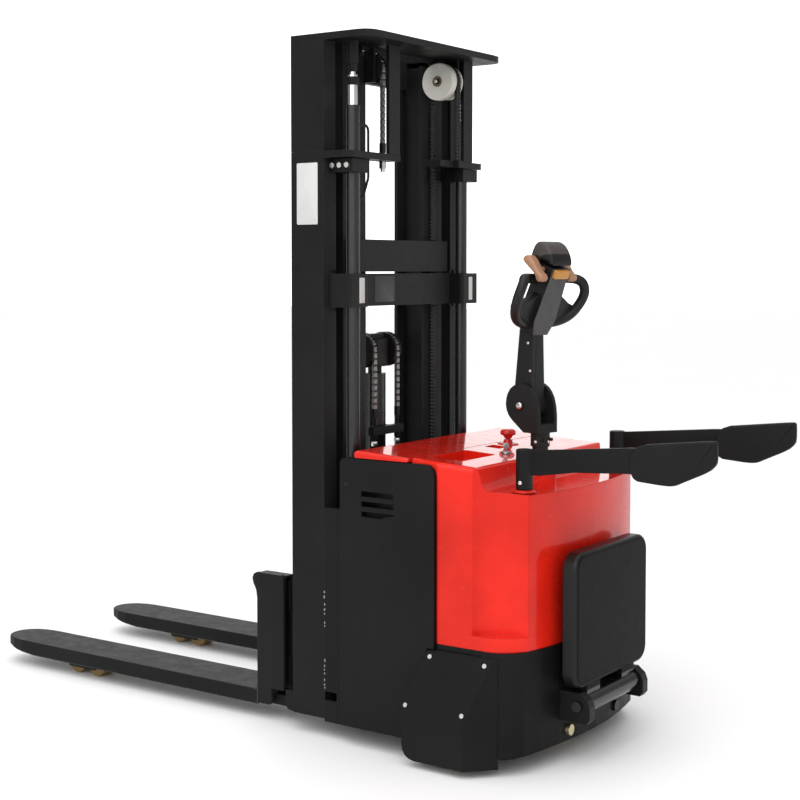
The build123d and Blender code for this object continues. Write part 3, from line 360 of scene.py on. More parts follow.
def link_steel(name):
    """Leaf chain: bright outer links; inner links painted near-black as painted shade between the outer plates."""
    k = Mat(name)
    at = k.n("ShaderNodeAttribute")
    at.attribute_name = "link"
    n1 = k.noise(150.0, 4.0)
    bright = k.mix(k.ramp(n1, 0.3, 0.7), (0.22, 0.215, 0.205), (0.34, 0.335, 0.32))
    # painted shade: faces tagged 0 (the set-back inner links) take a near-black colour, and pins (0.5) take a colour
    # between the two
    k.link(k.mix(at.outputs["Fac"], (0.020, 0.019, 0.018), bright), k.b.inputs["Base Color"])
    k.link(k.ramp(at.outputs["Fac"], 0.0, 1.0, 0.35, 0.9), k.b.inputs["Metallic"])
    k.link(k.ramp(n1, 0.25, 0.75, 0.30, 0.46), k.b.inputs["Roughness"])
    return k.done()


def fasteners(name):
    """Mixed small parts: zinc bolts, yellow plug on the skirt's left, dark chain eyes and dark pin ends; the right
    skirt plug is painted black as painted shade.
    """
    k = Mat(name)
    sep = k.n("ShaderNodeSeparateXYZ")
    k.link(k.co.outputs["Object"], sep.inputs[0])
    far = k.math("LESS_THAN", sep.outputs["X"], P(-680, 0, 0).x)
    low = k.math("LESS_THAN", sep.outputs["Z"], 0.13)
    plug = k.math("MULTIPLY", k.math("MULTIPLY", far, low), k.math("GREATER_THAN", sep.outputs["Y"], 0.0))
    # painted shade: the plug on the right side of the skirt is painted black
    right_plug_shade = k.math("MULTIPLY", k.math("MULTIPLY", far, low), k.math("LESS_THAN", sep.outputs["Y"], 0.0))
    pin = k.math("MULTIPLY", far, k.math("GREATER_THAN", sep.outputs["Z"], 0.13))
    eye = k.math("MULTIPLY", k.math("GREATER_THAN", sep.outputs["Z"], 1.7645), k.math("LESS_THAN", sep.outputs["Z"], 1.9))
    # black covers the real dark pin ends and chain eyes, plus the right plug's painted shade
    black = k.math("MAXIMUM", k.math("MAXIMUM", pin, right_plug_shade), eye)
    n1 = k.noise(150.0, 4.0)
    c = k.mix(k.ramp(n1, 0.3, 0.7), (0.52, 0.51, 0.49), (0.72, 0.71, 0.68))
    c = k.mix(plug, c, (0.62, 0.55, 0.33))
    c = k.mix(black, c, (0.012, 0.012, 0.013))
    k.link(c, k.b.inputs["Base Color"])
    k.link(k.math("SUBTRACT", 1.0, k.math("MULTIPLY", black, 0.6)), k.b.inputs["Metallic"])
    k.link(k.ramp(n1, 0.25, 0.75, 0.24, 0.40), k.b.inputs["Roughness"])
    k.round_edges(0.001)
    return k.done()


# mast black: painted highlight along the edges, and painted light on rear-facing faces (back)
BLACK = paint("mast_black", (0.0058, 0.0059, 0.0060), 0.42, wear=0.25, spec=0.125, painted_edge_light=0.30, back=(0.023, 0.023, 0.023))
SKIRT = paint("skirt_black", (0.0050, 0.0051, 0.0052), 0.46, wear=0.12, spec=0.12)
BARREL = paint("barrel_black", (0.0075, 0.0076, 0.0077), 0.22, wear=0.0, dust=0.1, spec=0.50, peel_s=0.03)
ARM = paint("tiller_black", (0.0125, 0.0125, 0.0126), 0.38, wear=0.0, dust=0.1, spec=0.20, peel_s=0.05)
PANEL = paint("panel_black", (0.0057, 0.0057, 0.0058), 0.55, wear=0.10, peel=520, peel_s=0.2, spec=0.13)
# forks: painted light on the upward faces (top) and a painted highlight along the edges
FORK = paint("fork_grey", (0.0068, 0.0069, 0.0067), 0.44, wear=0.5, dust=0.20, spec=0.10, top=(0.020, 0.0205, 0.019), wear_col=(0.20, 0.20, 0.19), painted_edge_light=0.75, painted_edge_light_col=(0.20, 0.20, 0.19), painted_edge_light_r=0.007)
RED = paint("hood_red", (0.65, 0.0150, 0.0060), 0.22, wear=0.0, dust=0.0, peel=120, peel_s=0.010, spec=0.10, bevel=0.006, coat=1.0)
SOCKET = paint("socket_red", (0.58, 0.014, 0.008), 0.30, wear=0.0, dust=0.0, peel_s=0.02, spec=0.2)
STEEL = metal("bright_steel", (0.56, 0.56, 0.55), 0.26)
ZINC = metal("zinc", (0.70, 0.69, 0.67), 0.28)
CHROME = metal("chrome", (0.80, 0.80, 0.81), 0.10, brush=(40, 40, 900), streak=0.03)
CHAIN = link_steel("chain_steel")
HOSE = plastic("hose_rubber", (0.010, 0.010, 0.010), 0.45, 600, 0.1, bevel=0, spec=0.3)
NYLON = plastic("pulley_nylon", (0.56, 0.55, 0.50), 0.42, 300, 0.05, sss=0.1)
NYLON_D = plastic("pulley_black", (0.010, 0.010, 0.010), 0.42, 300, 0.05, spec=0.25)
CASE = plastic("battery_case", (0.04, 0.04, 0.045), 0.5)
CAST = paint("motor_cast", (0.03, 0.03, 0.031), 0.55, wear=0.3, peel=260, peel_s=0.3)
ALU = metal("controller_alu", (0.55, 0.56, 0.57), 0.36)
FIT = plastic("fitting_black", (0.010, 0.010, 0.011), 0.38)
GLASS = plastic("gauge_window", (0.10, 0.012, 0.010), 0.16, 300, 0.01, spec=0.4, bevel=0.0)
STOP = plastic("stop_red", (0.56, 0.012, 0.008), 0.18, 300, 0.02, spec=0.5)
# platform: edge=0.8 paints a highlight along its rounded edges
TREAD = plastic("platform_black", (0.0048, 0.0048, 0.0049), 0.32, 420, 0.06, spec=0.26, bevel=0.003, edge=0.8, gloss=0.215)
# PU wheels: the amber colour is darkened as painted shade for the wheels that sit under the forks
PU = plastic("wheel_pu", (0.20, 0.125, 0.032), 0.38, 300, 0.06, sss=0.1)
PAD = plastic("arm_pad", (0.0070, 0.0070, 0.0072), 0.52, 520, 0.25, spec=0.16, bevel=0.0)
HEAD = two_tone("tiller_head")
BROWN = cap_rubber("belly_brown")
TAN = plastic("throttle_tan", (0.36, 0.190, 0.110), 0.42, 600, 0.08)
ORANGE = plastic("button_orange", (0.52, 0.23, 0.035), 0.30, 500, 0.05, spec=0.5, bevel=0.004)
LABEL_D = plastic("blank_plate_dark", (0.040, 0.040, 0.040), 0.36, 200, 0.03, var=0.05)
LABEL = plastic("blank_plate", (0.55, 0.55, 0.54), 0.40, 200, 0.03, var=0.05)
BOLTS = fasteners("bolts")
KEYS = metal("key_steel", (0.30, 0.295, 0.29), 0.30)
BRONZE = metal("hub_bronze", (0.26, 0.20, 0.13), 0.40)
WELD = metal("weld_bead", (0.30, 0.30, 0.29), 0.34, bevel=0.0, streak=0.3)

ASSIGN = {
    BLACK: "outer_mast straddle_legs middle_mast mast_head inner_mast carriage cylinder_clamps platform_brackets caster_fork_left caster_fork_right chain_anchors guard_arm_left guard_arm_right crosshead crosshead_pulleys",
    SKIRT: "base_frame",
    BARREL: "lift_barrels free_lift_barrel",
    ARM: "tiller_arm steer_column",
    SOCKET: "arm_sockets",
    PANEL: "side_panels caster_covers",
    FORK: "forks",
    STEEL: "middle_rollers inner_rollers",
    BOLTS: "chassis_fasteners",
    CHROME: "lift_rods",
    CHAIN: "lift_chain_rear lift_chain_top lift_chain_front free_chain_rear free_chain_top free_chain_front",
    HOSE: "hose_rear hose_top hose_front cylinder_hose",
    NYLON: "hose_pulley",
    NYLON_D: "chain_pulley",
    RED: "hood battery_lid",
    CASE: "battery",
    CAST: "pump_unit drive_unit",
    ALU: "controller",
    FIT: "panel_fittings",
    STOP: "estop_button",
    TREAD: "platform",
    PU: "drive_wheel caster_wheel_left caster_wheel_right load_wheel_front_left load_wheel_front_right load_wheel_rear_left load_wheel_rear_right",
    HEAD: "tiller_head",
    BROWN: "belly_button",
    TAN: "throttle",
    ORANGE: "lift_button",
}


def dress(node, material):
    o = NODES[node]
    for s in o.material_slots:
        s.material = material
    if not o.material_slots:
        o.data.materials.append(material)


for material, names in ASSIGN.items():
    for name in names.split():
        dress(name, material)


# ---------------------------------------------------------------- mesh tools
def new_mesh(name, verts, faces, material, body, smooth=True, replaces=(), blend=None):
    me = bpy.data.meshes.new(name)
    me.from_pydata([tuple(v) for v in verts], [], faces)
    me.update()
    bm = bmesh.new()
    bm.from_mesh(me)
    bmesh.ops.recalc_face_normals(bm, faces=bm.faces)
    bm.to_mesh(me)
    bm.free()
    o = bpy.data.objects.new(name, me)
    bpy.context.scene.collection.objects.link(o)
    me.materials.append(material)
    for p in me.polygons:
        p.use_smooth = smooth
    if smooth:
        me.set_sharp_from_angle(angle=math.radians(38))
    if replaces:
        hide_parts(*replaces)
    if blend:
        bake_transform(o)
    else:
        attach(o, body)
    return o


def tube_mesh(points, radius_at, sides=14):
    """Verts and faces of a tube along points; radius_at(arc length) gives the radius."""
    verts, faces = [], []
    s = 0.0
    n = len(points)
    up = None
    for i, p in enumerate(points):
        a = points[max(0, i - 1)]
        b = points[min(n - 1, i + 1)]
        t = (b - a).normalized()
        if up is None:
            up = t.orthogonal().normalized()
        up = (up - t * up.dot(t)).normalized()
        w = t.cross(up)
        if i:
            s += (p - points[i - 1]).length
        for k in range(sides):
            ang = 2 * math.pi * k / sides
            r = radius_at(s, ang)
            verts.append(p + up * (math.cos(ang) * r) + w * (math.sin(ang) * r))
    for i in range(n - 1):
        for k in range(sides):
            k2 = (k + 1) % sides
            faces.append((i * sides + k, i * sides + k2, (i + 1) * sides + k2, (i + 1) * sides + k))
    faces.append(tuple(range(sides)))
    faces.append(tuple(range((n - 1) * sides, n * sides)))
    return verts, faces


# ------------------------------------------------------------------- chains
def chain_geometry(path, length, width=0.016, height=0.0108, pitch=0.0102):
    """Leaf chain along path(s) -> (point, tangent, normal); pins across Y."""
    verts, faces, link_shade_tags = [], [], []
    count = max(2, round(length / pitch))
    pitch = length / count
    yv = Vector((0, 1, 0))

    def prism(outline, y0, y1, link_shade_tag):
        base = len(verts)
        m = len(outline)
        link_shade_tags.extend([link_shade_tag] * (m + 2))
        for y in (y0, y1):
            for q in outline:
                verts.append(q + yv * y)
        for i in range(m):
            j = (i + 1) % m
            faces.append((base + i, base + j, base + m + j, base + m + i))
        faces.append(tuple(base + i for i in range(m)))
        faces.append(tuple(base + m + i for i in reversed(range(m))))

    r = height / 2
    for i in range(count):
        pa, ta, na = path(i * pitch)
        pb, tb, nb = path((i + 1) * pitch)
        t = (pb - pa).normalized()
        nrm = (na + nb).normalized()
        nrm = (nrm - t * nrm.dot(t)).normalized()
        half = pitch / 2
        mid = (pa + pb) / 2
        # plate outline: two round ends with a waist
        out = []
        for k in range(7):
            a = -math.pi / 2 + math.pi * k / 6
            out.append((half + math.cos(a) * r * 0.86, math.sin(a) * r))
        out.append((0, r * 0.72))
        for k in range(7):
            a = math.pi / 2 + math.pi * k / 6
            out.append((-half + math.cos(a) * r * 0.86, math.sin(a) * r))
        out.append((0, -r * 0.72))
        th = width * 0.115
        rows = (-0.375, -0.125, 0.125, 0.375) if i % 2 == 0 else (-0.25, 0.0, 0.25)
        shrink = 1.0 if i % 2 == 0 else 0.80
        outline = [mid + t * u + nrm * (v * shrink) for u, v in out]
        for row in rows:
            y = row * width
            # odd links are tagged 0 for the painted shade in the chain material
            prism(outline, y - th, y + th, 1.0 if i % 2 == 0 else 0.0)
    for i in range(count + 1):
        p, t, nrm = path(min(length, i * pitch))
        ring = [p + t * (math.cos(2 * math.pi * k / 8) * r * 0.42) + nrm * (math.sin(2 * math.pi * k / 8) * r * 0.42) for k in range(8)]
        prism(ring, -width / 2, width / 2, 0.5)
    return verts, faces, link_shade_tags


def straight(x, y, z0, z1):
    a = P(x, y, z0)

    def path(s):
        return a + Vector((0, 0, s)), Vector((0, 0, 1)), Vector((1, 0, 0))
    return path, (z1 - z0) / 1000


def over(x, z, y, r):
    """Half turn over a pulley, from the rear side to the front side."""
    c = P(x, y, z)
    r = r / 1000

    def path(s):
        a = math.pi - s / r
        d = Vector((math.cos(a), 0, math.sin(a)))
        return c + d * r, Vector((math.sin(a), 0, -math.cos(a))), d
    return path, math.pi * r


def chain(name, runs, body, node, blend=None):
    verts, faces, link_shade_tags = [], [], []
    for path, length in runs:
        v, f, g = chain_geometry(path, length)
        base = len(verts)
        verts += v
        link_shade_tags += g
        faces += [tuple(i + base for i in q) for q in f]
    o = new_mesh(name, verts, faces, CHAIN, body, True, (node,), blend)
    o.data.attributes.new("link", "FLOAT", "FACE").data.foreach_set("value", link_shade_tags)
    return o


chain("lift_chain_rear_links", [straight(-50, 144, 1800, 2030)], "chassis", "lift_chain_rear",
      ("chassis", "middle_stage", P(-50, 144, 1800), P(-50, 144, 2030)))
chain("lift_chain_top_links", [over(-10, 2030, 144, 40)], "middle_stage", "lift_chain_top")
chain("lift_chain_front_links", [straight(30, 144, 318, 2030)], "inner_stage", "lift_chain_front",
      ("inner_stage", "middle_stage", P(30, 144, 318), P(30, 144, 2030)))
chain("free_chain_rear_links", [straight(40, s * 62.5, 970, 1154) for s in (1, -1)], "inner_stage", "free_chain_rear",
      ("inner_stage", "free_lift_head", P(40, 0, 970), P(40, 0, 1154)))
chain("free_chain_top_links", [over(90, 1154, s * 62.5, 50) for s in (1, -1)], "free_lift_head", "free_chain_top")
chain("free_chain_front_links", [straight(140, s * 62.5, 330, 1154) for s in (1, -1)], "fork_carriage", "free_chain_front",
      ("fork_carriage", "free_lift_head", P(140, 0, 330), P(140, 0, 1154)))


# -------------------------------------------------------------------- hoses
def ribbed(s, ang):
    """Hose inside a spiral guard."""
    ph = (s / 0.0115 + ang / (2 * math.pi)) % 1.0
    return 0.0092 + 0.0022 * (1 if 0.12 < ph < 0.72 else 0) * min(1.0, 8 * min(ph - 0.12, 0.72 - ph) if 0.12 < ph < 0.72 else 0)


def hose_line(points, step=0.0019):
    out = []
    for a, b in zip(points, points[1:]):
        n = max(1, int((b - a).length / step))
        out += [a.lerp(b, i / n) for i in range(n)]
    return out + [points[-1]]


HX, HZ, HY, HR = -57.0, 2018.0, -195.0, 49.0
v, f = tube_mesh(hose_line([P(HX - HR, HY, 1764), P(HX - HR, HY, HZ)]), ribbed)
new_mesh("hose_rear_run", v, f, HOSE, "chassis", True, ("hose_rear",),
         ("chassis", "middle_stage", P(HX - HR, HY, 1764), P(HX - HR, HY, HZ)))
arc = [P(HX + HR * math.cos(math.pi - a * math.pi / 90), HY, HZ + HR * math.sin(math.pi - a * math.pi / 90)) for a in range(91)]
v, f = tube_mesh(arc, ribbed)
new_mesh("hose_over_pulley", v, f, HOSE, "middle_stage", True, ("hose_top",))
v, f = tube_mesh(hose_line([P(HX + HR, HY, 300), P(HX + HR, HY, HZ)]), ribbed)
new_mesh("hose_front_run", v, f, HOSE, "inner_stage", True, ("hose_front",),
         ("inner_stage", "middle_stage", P(HX + HR, HY, 300), P(HX + HR, HY, HZ)))

# ------------------------------------------------------- rounded slabs, turned parts
def chaikin(pts, rounds=2):
    """Corner cutting: stays inside the outline."""
    for _ in range(rounds):
        out = []
        for i, a in enumerate(pts):
            b = pts[(i + 1) % len(pts)]
            out.append((a[0] * 0.75 + b[0] * 0.25, a[1] * 0.75 + b[1] * 0.25))
            out.append((a[0] * 0.25 + b[0] * 0.75, a[1] * 0.25 + b[1] * 0.75))
        pts = out
    return pts


def inset(pts, d):
    n = len(pts)
    area2 = sum(pts[i][0] * pts[(i + 1) % n][1] - pts[(i + 1) % n][0] * pts[i][1] for i in range(n))
    sg = 1.0 if area2 > 0 else -1.0
    out = []
    for i in range(n):
        a, b, c = pts[i - 1], pts[i], pts[(i + 1) % n]
        e1 = Vector((b[0] - a[0], b[1] - a[1])).normalized()
        e2 = Vector((c[0] - b[0], c[1] - b[1])).normalized()
        n1 = Vector((-e1.y, e1.x)) * sg
        n2 = Vector((-e2.y, e2.x)) * sg
        m = n1 + n2
        m = m / max(0.35, m.length_squared / 2)
        out.append((b[0] + m.x * d, b[1] + m.y * d))
    return out


def slab(outline, half, r, place, steps=6):
    """Slab with rounded rims; place(p, q, depth) gives the point in space."""
    layers = []
    for sgn in (-1, 1):
        ks = range(steps, -1, -1) if sgn < 0 else range(steps + 1)
        for k in ks:
            a = math.pi / 2 * k / steps
            layers.append((inset(outline, r * (1 - math.cos(a))), sgn * ((half - r) + r * math.sin(a))))
    verts, faces = [], []
    n = len(outline)
    for pts, dep in layers:
        verts += [place(p, q, dep) for p, q in pts]
    for j in range(len(layers) - 1):
        for i in range(n):
            i2 = (i + 1) % n
            faces.append((j * n + i, j * n + i2, (j + 1) * n + i2, (j + 1) * n + i))
    faces.append(tuple(range(n)))
    faces.append(tuple(range((len(layers) - 1) * n, len(layers) * n)))
    return verts, faces


def turned(origin, axis, profile, sides=28):
    """Turned part: profile of (radius, height) along the axis."""
    axis = axis.normalized()
    a = axis.orthogonal().normalized()
    b = axis.cross(a)
    verts, faces = [], []
    for r, h in profile:
        for k in range(sides):
            t = 2 * math.pi * k / sides
            verts.append(origin + axis * h + (a * math.cos(t) + b * math.sin(t)) * r)
    for j in range(len(profile) - 1):
        for k in range(sides):
            k2 = (k + 1) % sides
            faces.append((j * sides + k, j * sides + k2, (j + 1) * sides + k2, (j + 1) * sides + k))
    faces.append(tuple(range(sides)))
    faces.append(tuple(range((len(profile) - 1) * sides, len(profile) * sides)))
    return verts, faces


def merged(parts):
    verts, faces = [], []
    for v, f in parts:
        base = len(verts)
        verts += v
        faces += [tuple(i + base for i in q) for q in f]
    return verts, faces


def button_head(origin, axis, r, h, sides=24):
    """Domed screw head with a hexagon socket."""
    prof = [(r, 0.0), (r, h * 0.25)]
    for k in range(1, 6):
        a = math.pi / 2 * k / 6
        prof.append((r * (0.42 + 0.58 * math.cos(a)), h * (0.25 + 0.75 * math.sin(a))))
    prof += [(r * 0.40, h), (r * 0.36, h * 0.97), (r * 0.34, h * 0.35)]
    return turned(origin, axis, prof, sides)


def plate(name, corner, du, dv, nrm, material, body, thick=0.0008, r=0.004):
    """Thin blank plate with rounded corners, lying on a face."""
    lu, lv = du.length, dv.length
    u, v = du.normalized(), dv.normalized()
    out = []
    for cx, cy, a0 in ((lu - r, lv - r, 0), (r, lv - r, 90), (r, r, 180), (lu - r, r, 270)):
        for k in range(7):
            a = math.radians(a0 + 15 * k)
            out.append((cx + r * math.cos(a), cy + r * math.sin(a)))
    vv, ff = slab(out, thick / 2, thick * 0.4, lambda p, q, d: corner + u * p + v * q + nrm * (d + thick / 2), 2)
    return new_mesh(name, vv, ff, material, body)


# -------------------------------------------------------------- guard arms
BAR = [(-640, 838), (-640, 910), (-670, 910), (-960, 936), (-1000, 938), (-1000, 866), (-960, 866), (-800, 857), (-690, 840)]
PADS = [(-965, 944), (-1090, 958), (-1203, 971), (-1210, 969), (-1213, 962), (-1213, 915), (-1206, 903), (-1188, 887),
        (-1118, 855), (-1096, 844), (-1070, 842), (-1026, 845), (-965, 850)]
for s, side in ((1, "left"), (-1, "right")):
    node, body = "guard_arm_" + side, "guard_arm_" + side + "_body"
    bar = slab(BAR, 7, 2.2, lambda p, q, d: P(p, s * 288 + d, q), 3)
    sleeve = turned(P(-639, s * 288, 0), Vector((0, 0, 1)),
                    [(0.0141, 0.7975), (0.0225, 0.7975), (0.0238, 0.7990), (0.0240, 0.8020), (0.0240, 0.9060), (0.0232, 0.9092),
                     (0.0212, 0.9108), (0.0180, 0.9110)], 40)
    v, f = merged([bar, sleeve])
    new_mesh(node + "_bar", v, f, BLACK, body, True, (node,))
    v, f = slab(chaikin(PADS, 2), 12, 8.5, lambda p, q, d: P(p, s * 288 + d, q), 6)
    o = new_mesh(node + "_pad", v, f, PAD, body)
    v, f = button_head(P(-639, s * 311.6, 818), Vector((0, s, 0)), 0.0062, 0.0040)
    new_mesh(node + "_screw", v, f, ZINC, body)

# ---------------------------------------------------------- tiller details
WING = [(59, 207), (57, 221), (44, 230), (26, 225), (10, 215), (-14, 198), (-28, 196), (-35, 186), (-32, 175), (-20, 170), (-11, 176),
        (-2, 186), (12, 192), (34, 198)]
wings = []
for s in (1, -1):
    wings.append(slab(chaikin(WING, 2), 17, 8, lambda p, q, d: tilted(q, s * 66 + d, p), 5))
ax = tilted(200, 80, 6) - tilted(200, -80, 6)
wings.append(turned(tilted(200, -80, 6), ax, [(0.0069, 0.0), (0.0069, ax.length)], 20))
v, f = merged(wings)
new_mesh("throttle_wings", v, f, TAN, "throttle_body", True, ("throttle",))

CAP = [(-28, 221.4), (-27, 234), (-12, 254), (12, 271), (38, 275), (57, 266), (64, 248), (64, 209), (57, 201), (41, 201), (36, 206), (36, 220.6), (36, 221.4), (35, 221.4)]
cap = slab(chaikin(CAP, 1), 46, 10, lambda p, q, d: tilted(q, d, p), 5)
stem = slab([(17.5, 199), (28.5, 199), (28.5, 224), (17.5, 224)], 24, 0.8, lambda p, q, d: tilted(q, d, p), 2)
v, f = merged([cap, stem])
new_mesh("belly_cap", v, f, BROWN, "belly_button_body", True, ("belly_button",))

left = (steered(-527, 1000, 0) - steered(-527, 0, 0)).normalized()
for s, nm in ((1, "left"), (-1, "right")):
    v, f = button_head(steered(-485, s * 47.6, 1005), left * s, 0.0115, 0.0060)
    new_mesh("pivot_bolt_" + nm, v, f, ZINC, "steer")
for nm, q, n in (("side", P(-527, 28.4, 898), Vector((0, 1, 0))), ("rear", P(-555.4, 0, 898), Vector((-1, 0, 0)))):
    v, f = button_head(q, n, 0.0055, 0.0034)
    new_mesh("collar_screw_" + nm, v, f, ZINC, "steer")

# ------------------------------------------------------------ mast details
for s, nm in ((1, "left"), (-1, "right")):
    v, f = turned(P(-52, s * 300, 0), Vector((0, 0, 1)),
                  [(0.0152, 1.962), (0.0185, 1.962), (0.0190, 1.9635), (0.0190, 1.9845), (0.0185, 1.986), (0.0152, 1.986)], 36)
    new_mesh("rod_collar_" + nm, v, f, BLACK, "middle_stage")

rnd = random.Random(4)
beads = []
for z0, z1 in ((337, 448), (148, 241)):
    z = z0
    while z < z1:
        ln = rnd.uniform(5, 14)
        w = rnd.uniform(2.2, 3.6)
        h = rnd.uniform(0.9, 1.7)
        x = rnd.uniform(-1.5, 1.0)
        rows = []
        for i in range(7):
            t = i / 6
            c = math.sin(math.pi * t)
            rows.append((z + ln * t, max(0.15, c) * w, max(0.1, c) * h))
        vv, ff = [], []
        for zz, ww, hh in rows:
            for k in range(7):
                a = math.pi * k / 6
                vv.append(P(x + math.cos(a) * ww, 377.6 + math.sin(a) * hh, zz))
        for i in range(6):
            for k in range(6):
                ff.append((i * 7 + k, i * 7 + k + 1, (i + 1) * 7 + k + 1, (i + 1) * 7 + k))
            ff.append((i * 7 + 6, i * 7, (i + 1) * 7, (i + 1) * 7 + 6))
        ff.append(tuple(range(7)))
        ff.append(tuple(range(42, 49)))
        beads.append((vv, ff))
        z += ln + rnd.choice((1, 2, 4, 9, 17)) + rnd.uniform(0, 3)
v, f = merged(beads)
new_mesh("weld_stitches", v, f, WELD, "chassis")

plate("side_plate_blank", P(100, 378, 1547), P(21, 378, 1547) - P(100, 378, 1547), Vector((0, 0, 0.184)), Vector((0, 1, 0)), LABEL, "chassis")
plate("name_plate_blank", P(-30, 158, 1312), Vector((0, -0.106, 0)), Vector((0, 0, 0.081)), Vector((-1, 0, 0)), LABEL_D, "chassis")
plate("strip_left_blank", P(-84, 312, 1312), Vector((0, -0.027, 0)), Vector((0, 0, 0.076)), Vector((-1, 0, 0)), LABEL, "chassis", r=0.002)
plate("strip_right_blank", P(-84, -300, 1312), Vector((0, -0.022, 0)), Vector((0, 0, 0.076)), Vector((-1, 0, 0)), LABEL, "chassis", r=0.002)

# ------------------------------------------------- screws, nuts and lips
def seen(node, px, py):
    """Point and outward normal of a node's surface behind a picture point (800 x 800)."""
    me = NODES[node].data
    tree = BVHTree.FromPolygons([v.co.copy() for v in me.vertices], [tuple(p.vertices) for p in me.polygons])
    q = cam.rotation_quaternion
    f_len = cam_data.lens / cam_data.sensor_width
    way = q @ Vector(((px / 800 - 0.5) / f_len, ((0.5 - py / 800) + cam_data.shift_y) / f_len, -1.0))
    hit, nrm, _, _ = tree.ray_cast(Vector(cam.location), way.normalized())
    if hit is None:
        return None
    return hit, (-nrm if nrm.dot(way) > 0 else nrm)


for nm, px, py in (("upper", 528, 343), ("lower", 530, 371)):
    spot = seen("tiller_arm", px, py)
    if spot:
        v, f = button_head(spot[0] - spot[1] * 0.0004, spot[1], 0.0050, 0.0030)
        new_mesh("arm_screw_" + nm, v, f, ZINC, "tiller")
spot = seen("side_panels", 346, 484)
if spot:
    v, f = turned(spot[0] - spot[1] * 0.0004, spot[1], [(0.0020, 0.0), (0.0052, 0.0), (0.0052, 0.0009), (0.0044, 0.0012), (0.0020, 0.0008)], 24)
    new_mesh("panel_plug", v, f, NYLON_D, "chassis")
v, f = slab([(-271.5, 687.5), (-271.5, 700), (-262, 699.5), (-238, 694), (-214, 687.5)], 1.4, 0.6, lambda p, q, d: P(p, 398.4 + d, q), 3)
new_mesh("louvre_lip", v, f, PANEL, "chassis")

for s, nm in ((1, "left"), (-1, "right")):
    v, f = turned(P(-52, s * 300, 0), Vector((0, 0, 1)),
                  [(0.0092, 2.0015), (0.0122, 2.0015), (0.0132, 2.0030), (0.0132, 2.0262), (0.0092, 2.0262)], 32)
    new_mesh("rod_sleeve_" + nm, v, f, BLACK, "middle_stage")
    v, f = turned(P(40, s * 62.5, 0), Vector((0, 0, 1)),
                  [(0.0058, 0.8512), (0.0098, 0.8512), (0.0106, 0.8526), (0.0106, 0.8640), (0.0098, 0.8654), (0.0058, 0.8654)], 6)
    new_mesh("anchor_nut_" + nm, v, f, ZINC, "inner_stage")
    v, f = slab([(-21, 2068), (13, 2068), (13, 2092.5), (-21, 2092.5)], 2.8, 1.0, lambda p, q, d: P(p, s * 210 + d, q), 3)
    new_mesh("head_lip_" + nm, v, f, BLACK, "middle_stage")
v, f = slab([(-70, 2071), (127, 2071), (127, 2080.5), (-70, 2080.5)], 2.6, 1.0, lambda p, q, d: P(-17 + d, p, q), 3)
new_mesh("head_lip_rear", v, f, BLACK, "middle_stage")
v, f = turned(P(-57, -150, 2018), Vector((0, 1, 0)), [(0.0094, -0.0002), (0.0172, -0.0002), (0.0176, 0.0008), (0.0170, 0.0024), (0.0094, 0.0027)], 36)
new_mesh("hose_pulley_washer", v, f, BRONZE, "hose_pulley_body")
v, f = button_head(P(-57, -142.2, 2018), Vector((0, 1, 0)), 0.0062, 0.0036)
new_mesh("hose_pulley_bolt", v, f, ZINC, "middle_stage")

# ------------------------------------------------------------ deck fittings
UP = Vector((0, 0, 1))
TILT = Vector((-26.0, 0, 432.0)).normalized()


def deck(x):
    return 858.0 + 26.0 * (x + 552.0) / 432.0


# stop button: disc lying on the deck, collar, mushroom head
disc = turned(P(-356, -100, deck(-356)), TILT, [(0.0100, -0.0004), (0.0325, -0.0004), (0.0335, 0.0008), (0.0330, 0.0022), (0.0300, 0.0030), (0.0160, 0.0034)], 44)
collar = turned(P(-356, -100, 0), UP, [(0.0084, 0.8600), (0.0150, 0.8700), (0.0146, 0.8760), (0.0136, 0.8830), (0.0128, 0.8840), (0.0084, 0.8840)], 36)
v, f = merged([disc, collar])
new_mesh("stop_collar", v, f, STOP, "chassis", True, ("panel_fittings",))
v, f = turned(P(-356, -100, 0), UP, [(0.0040, 0.8340), (0.0080, 0.8345), (0.0080, 0.8860), (0.0118, 0.8880), (0.0130, 0.8920), (0.0170, 0.8960),
              (0.0226, 0.8985), (0.0240, 0.9000), (0.0246, 0.9030), (0.0240, 0.9080), (0.0222, 0.9120), (0.0186, 0.9146), (0.0130, 0.9157), (0.0050, 0.9160)], 40)
new_mesh("stop_head", v, f, STOP, "estop_button_body", True, ("estop_button",))
# gauge window at the bottom of its recess
zg = deck(-392) - 17
out = []
for cx, cy, a0 in ((21, 22, 0), (-21, 22, 90), (-21, -22, 180), (21, -22, 270)):
    for k in range(6):
        t = math.radians(a0 + 18 * k)
        out.append((cx + 3 * math.cos(t), cy + 3 * math.sin(t)))
v, f = slab(out, 3, 0.8, lambda p, q, d: P(-365 + p, -14 + q, zg + 3 + d), 3)
new_mesh("gauge_window", v, f, GLASS, "chassis", True, ("panel_fittings",))
# key switch with its key and ring
v, f = turned(P(-458, 84, 0), UP, [(0.0030, 0.8225), (0.0089, 0.8225), (0.0089, 0.8650), (0.0140, 0.8650), (0.0140, 0.8690), (0.0128, 0.8712), (0.0096, 0.8720), (0.0090, 0.8716),
              (0.0030, 0.8714)], 36)
new_mesh("key_switch", v, f, KEYS, "chassis", True, ("panel_fittings",))
bow = slab(chaikin([(-3, 0), (3, 0), (3, 8), (9, 11), (10, 20), (5, 26), (-5, 26), (-10, 20), (-9, 11), (-3, 8)], 2), 1.1, 0.45,
           lambda p, q, d: P(-458 + p * 0.80 + d * 0.60, 84 + p * 0.60 - d * 0.80, 870.5 + q), 2)
ring = [P(-458 + 0.60 * 13 * math.sin(t) - 1.0, 84 - 0.80 * 13 * math.sin(t), 892.5 - 13 + 13 * math.cos(t)) for t in [2 * math.pi * k / 40 for k in range(41)]]
